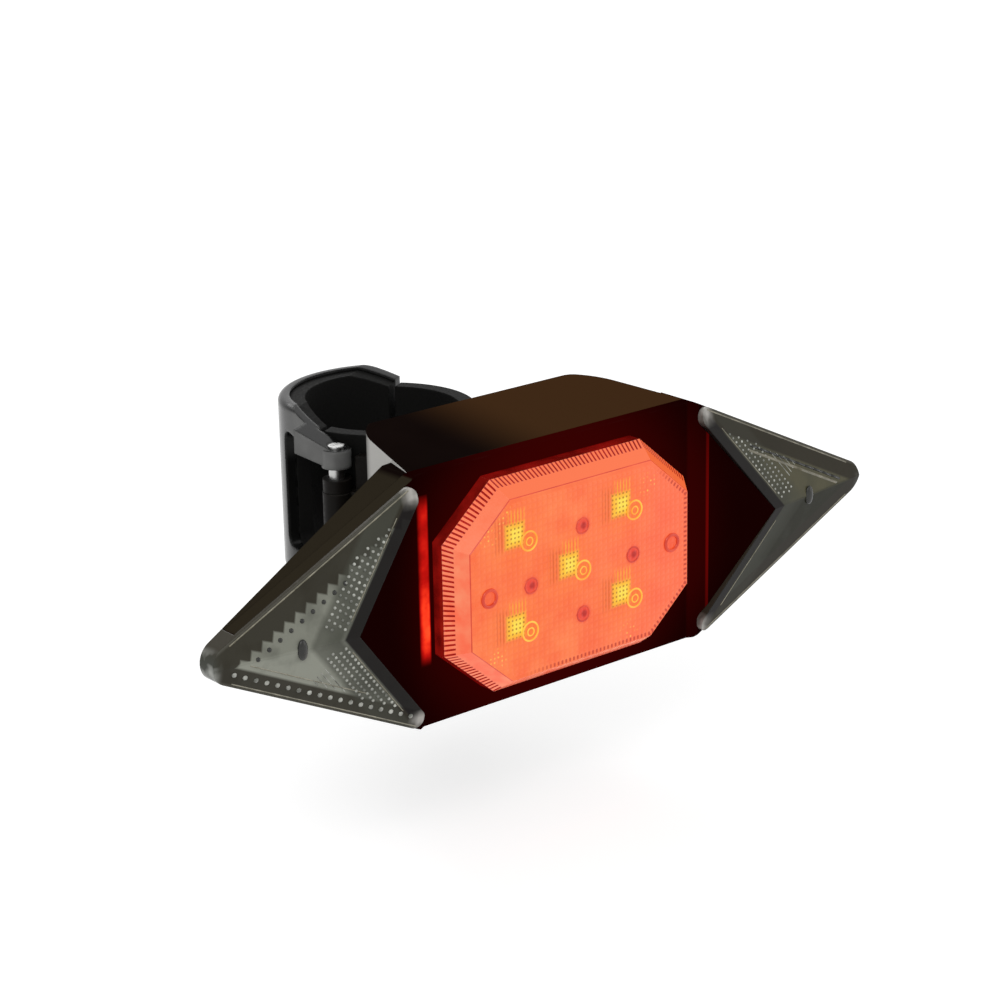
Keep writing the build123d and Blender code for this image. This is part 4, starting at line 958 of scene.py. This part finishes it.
def build_arrow_mark(face, finish):
    """Dark marks: teeth on the left lens, a line on the right one, and an oval spot on both."""
    mesh = bmesh.new()
    if face.side < 0:
        add_edge_beads(mesh, face, TOOTH_ROW, 1, TOOTH_BEAD)
    else:
        add_side_line(mesh, face, beside_edge, DARK_LINE, 1, DARK_RIDGE)
    hit = face.drop(SPOT_X, SPOT_Z)
    if hit:
        made = bmesh.ops.create_uvsphere(mesh, u_segments=20, v_segments=10, radius=1.0)["verts"]
        shape = Matrix.Diagonal((*point(*SPOT_SIZE), 1.0))
        place = Matrix.Translation(hit[0] + point(0, SPOT_BACK, 0))
        bmesh.ops.transform(mesh, matrix=place @ shape, verts=made)
    mesh_object(face.name + "_arrow_mark", mesh, "lamp", [finish], smooth=True)


def dress_nodes(finishes):
    """Gives every CAD node the finish of its slot, and the two halves of the case their own."""
    for node in NODES.values():
        for holder in node.material_slots:
            holder.material = finishes[holder.material.name.split(".")[0]]
    NODES["front_cover"].material_slots[0].material = cover_finish()
    NODES["rear_housing"].material_slots[0].material = housing_finish()


# The photograph's camera: pitch, roll and yaw, then the lens centre's place before it in lens widths
CAMERA_PITCH = 0.3223
CAMERA_ROLL = -0.0186
CAMERA_YAW = 0.6886
CAMERA_SHIFT = (0.2099, 0.1997, 8.4345)
CAMERA_UNIT = 48.9
CAMERA_FOCUS = 97.2
CAMERA_SENSOR = 36.0
CAMERA_RANGE = (0.01, 20.0)
LENS_PLANE = -45.4


def add_camera():
    """A camera at the photograph's angle."""
    c, s = math.cos(CAMERA_YAW), math.sin(CAMERA_YAW)
    yaw = Matrix(((c, -s, 0), (s, c, 0), (0, 0, 1)))
    base = Matrix(((1, 0, 0), (0, 0, -1), (0, 1, 0)))
    c, s = math.cos(CAMERA_PITCH), math.sin(CAMERA_PITCH)
    pitch = Matrix(((1, 0, 0), (0, c, -s), (0, s, c)))
    c, s = math.cos(CAMERA_ROLL), math.sin(CAMERA_ROLL)
    roll = Matrix(((c, -s, 0), (s, c, 0), (0, 0, 1)))
    turn = roll @ pitch @ base @ yaw
    centre = -(turn.transposed() @ Vector(CAMERA_SHIFT)) * CAMERA_UNIT * MM
    centre.y += LENS_PLANE * MM
    data = bpy.data.cameras.new("photo_camera")
    data.lens = CAMERA_FOCUS
    data.sensor_width = CAMERA_SENSOR
    data.clip_start, data.clip_end = CAMERA_RANGE
    camera = bpy.data.objects.new("photo_camera", data)
    axes = Matrix((turn[0], -turn[1], -turn[2])).transposed()
    camera.matrix_world = Matrix.Translation(centre) @ axes.to_4x4()
    bpy.context.scene.collection.objects.link(camera)
    bpy.context.scene.camera = camera


# The studio, in metres: floor, light on the object, and lamps with their place, power and size
FLOOR_SIZE = 3.0
FLOOR_DROP = 0.018
FLOOR_PALE = 0.62
SOFT_LIGHT = 0.55
LAMP_AIM = Vector((0, -0.03, 0))
LAMPS = {
    "key_lamp": ((-0.75, -0.65, 0.85), 4.0, 0.7),
    "fill_lamp": ((0.8, -0.8, 0.35), 1.4, 0.8),
    "back_lamp": ((0.35, 0.85, 0.8), 3.0, 0.6),
}


def add_lamp(name, place, power, size):
    """A soft square lamp that looks at the object."""
    data = bpy.data.lights.new(name, "AREA")
    data.energy = power
    data.size = size
    lamp = bpy.data.objects.new(name, data)
    lamp.location = place
    lamp.rotation_euler = (LAMP_AIM - Vector(place)).to_track_quat("-Z", "Y").to_euler()
    bpy.context.scene.collection.objects.link(lamp)


def white_share(tree):
    """1 for rays from the camera, mirrors and glass, 0 for the light on the object."""
    path = tree.nodes.new("ShaderNodeLightPath")
    total = path.outputs["Is Camera Ray"]
    for kind in ("Is Glossy Ray", "Is Transmission Ray"):
        add = tree.nodes.new("ShaderNodeMath")
        add.operation = "ADD"
        add.use_clamp = True
        tree.links.new(total, add.inputs[0])
        tree.links.new(path.outputs[kind], add.inputs[1])
        total = add.outputs[0]
    return total


def add_world():
    """White surroundings for the camera, mirrors and glass, softer light on the object."""
    world = bpy.data.worlds.new("studio")
    bpy.context.scene.world = world
    world.use_nodes = True
    tree = world.node_tree
    tree.nodes.clear()
    mixer = tree.nodes.new("ShaderNodeMixShader")
    tree.links.new(white_share(tree), mixer.inputs[0])
    for slot, strength in ((1, SOFT_LIGHT), (2, 1.0)):
        shade = tree.nodes.new("ShaderNodeBackground")
        shade.inputs["Color"].default_value = (1, 1, 1, 1)
        shade.inputs["Strength"].default_value = strength
        tree.links.new(shade.outputs[0], mixer.inputs[slot])
    result = tree.nodes.new("ShaderNodeOutputWorld")
    tree.links.new(mixer.outputs[0], result.inputs["Surface"])


def add_floor():
    """Pale plain floor under the object."""
    mesh = bmesh.new()
    bmesh.ops.create_grid(mesh, x_segments=2, y_segments=2, size=FLOOR_SIZE)
    data = bpy.data.meshes.new("floor")
    mesh.to_mesh(data)
    mesh.free()
    floor = bpy.data.objects.new("floor", data)
    floor.location = (0, 0, first_box[0].z - FLOOR_DROP)
    bpy.context.scene.collection.objects.link(floor)
    make = Maker("floor_pale")
    make.paint(Base_Color=rgb(FLOOR_PALE, FLOOR_PALE, FLOOR_PALE), Roughness=1.0, Specular_IOR_Level=0.0,
               Emission_Color=rgb(1, 1, 1), Emission_Strength=make.times(white_share(make.tree), FLOOR_PALE))
    data.materials.append(make.material)


def add_stage():
    """Surroundings, floor and three soft lamps."""
    add_world()
    add_floor()
    for name, (place, power, size) in LAMPS.items():
        add_lamp(name, place, power, size)


def main():
    scene = bpy.context.scene
    scene.view_settings.view_transform = "Standard"
    dress_nodes(slot_finishes())
    glow = lens_glow()
    lens_finishes = [
        glow,
        lens_part("tail_lens_border", rgb(1.0, 0.140, 0.050), rgb(1.0, 0.255, 0.115), 0.9,
                  rgb(1.0, 0.17, 0.045)),
        lens_part("tail_lens_ticks", rgb(0.34, 0.004, 0.003), rgb(0.50, 0.012, 0.008), 0.8),
        lens_part("tail_lens_wall", rgb(0.10, 0.001, 0.001), rgb(0.24, 0.004, 0.003), 0.8),
        lens_part("tail_lens_edge_line", rgb(0.70, 0.045, 0.012), rgb(0.86, 0.075, 0.022), 0.85),
    ]
    ring = lens_part("tail_lens_ring", rgb(1.0, 0.36, 0.020), rgb(1.0, 0.58, 0.055), 0.95)
    boss = lens_part("tail_lens_boss_ring", rgb(0.66, 0.030, 0.010), rgb(0.86, 0.070, 0.018), 0.85)
    build_tail_lens(lens_finishes)
    build_lens_prisms(glow)
    build_lens_rings(ring, boss)
    clear = clear_finish("arrow_prism_clear", rgb(0.16, 0.165, 0.14), rgb(0.62, 0.63, 0.57))
    rims = clear_finish("arrow_ridge_clear", rgb(0.20, 0.185, 0.13), rgb(0.40, 0.37, 0.28))
    marks = clear_finish("arrow_mark_dark", rgb(0.010, 0.010, 0.008), rgb(0.022, 0.022, 0.018), 0.25)
    for side in (1, -1):
        face = ArrowFace(side)
        build_arrow_beads(face, clear)
        build_arrow_hatch(face, clear)
        build_arrow_ridges(face, rims)
        build_arrow_mark(face, marks)
    add_camera()
    add_stage()


main()
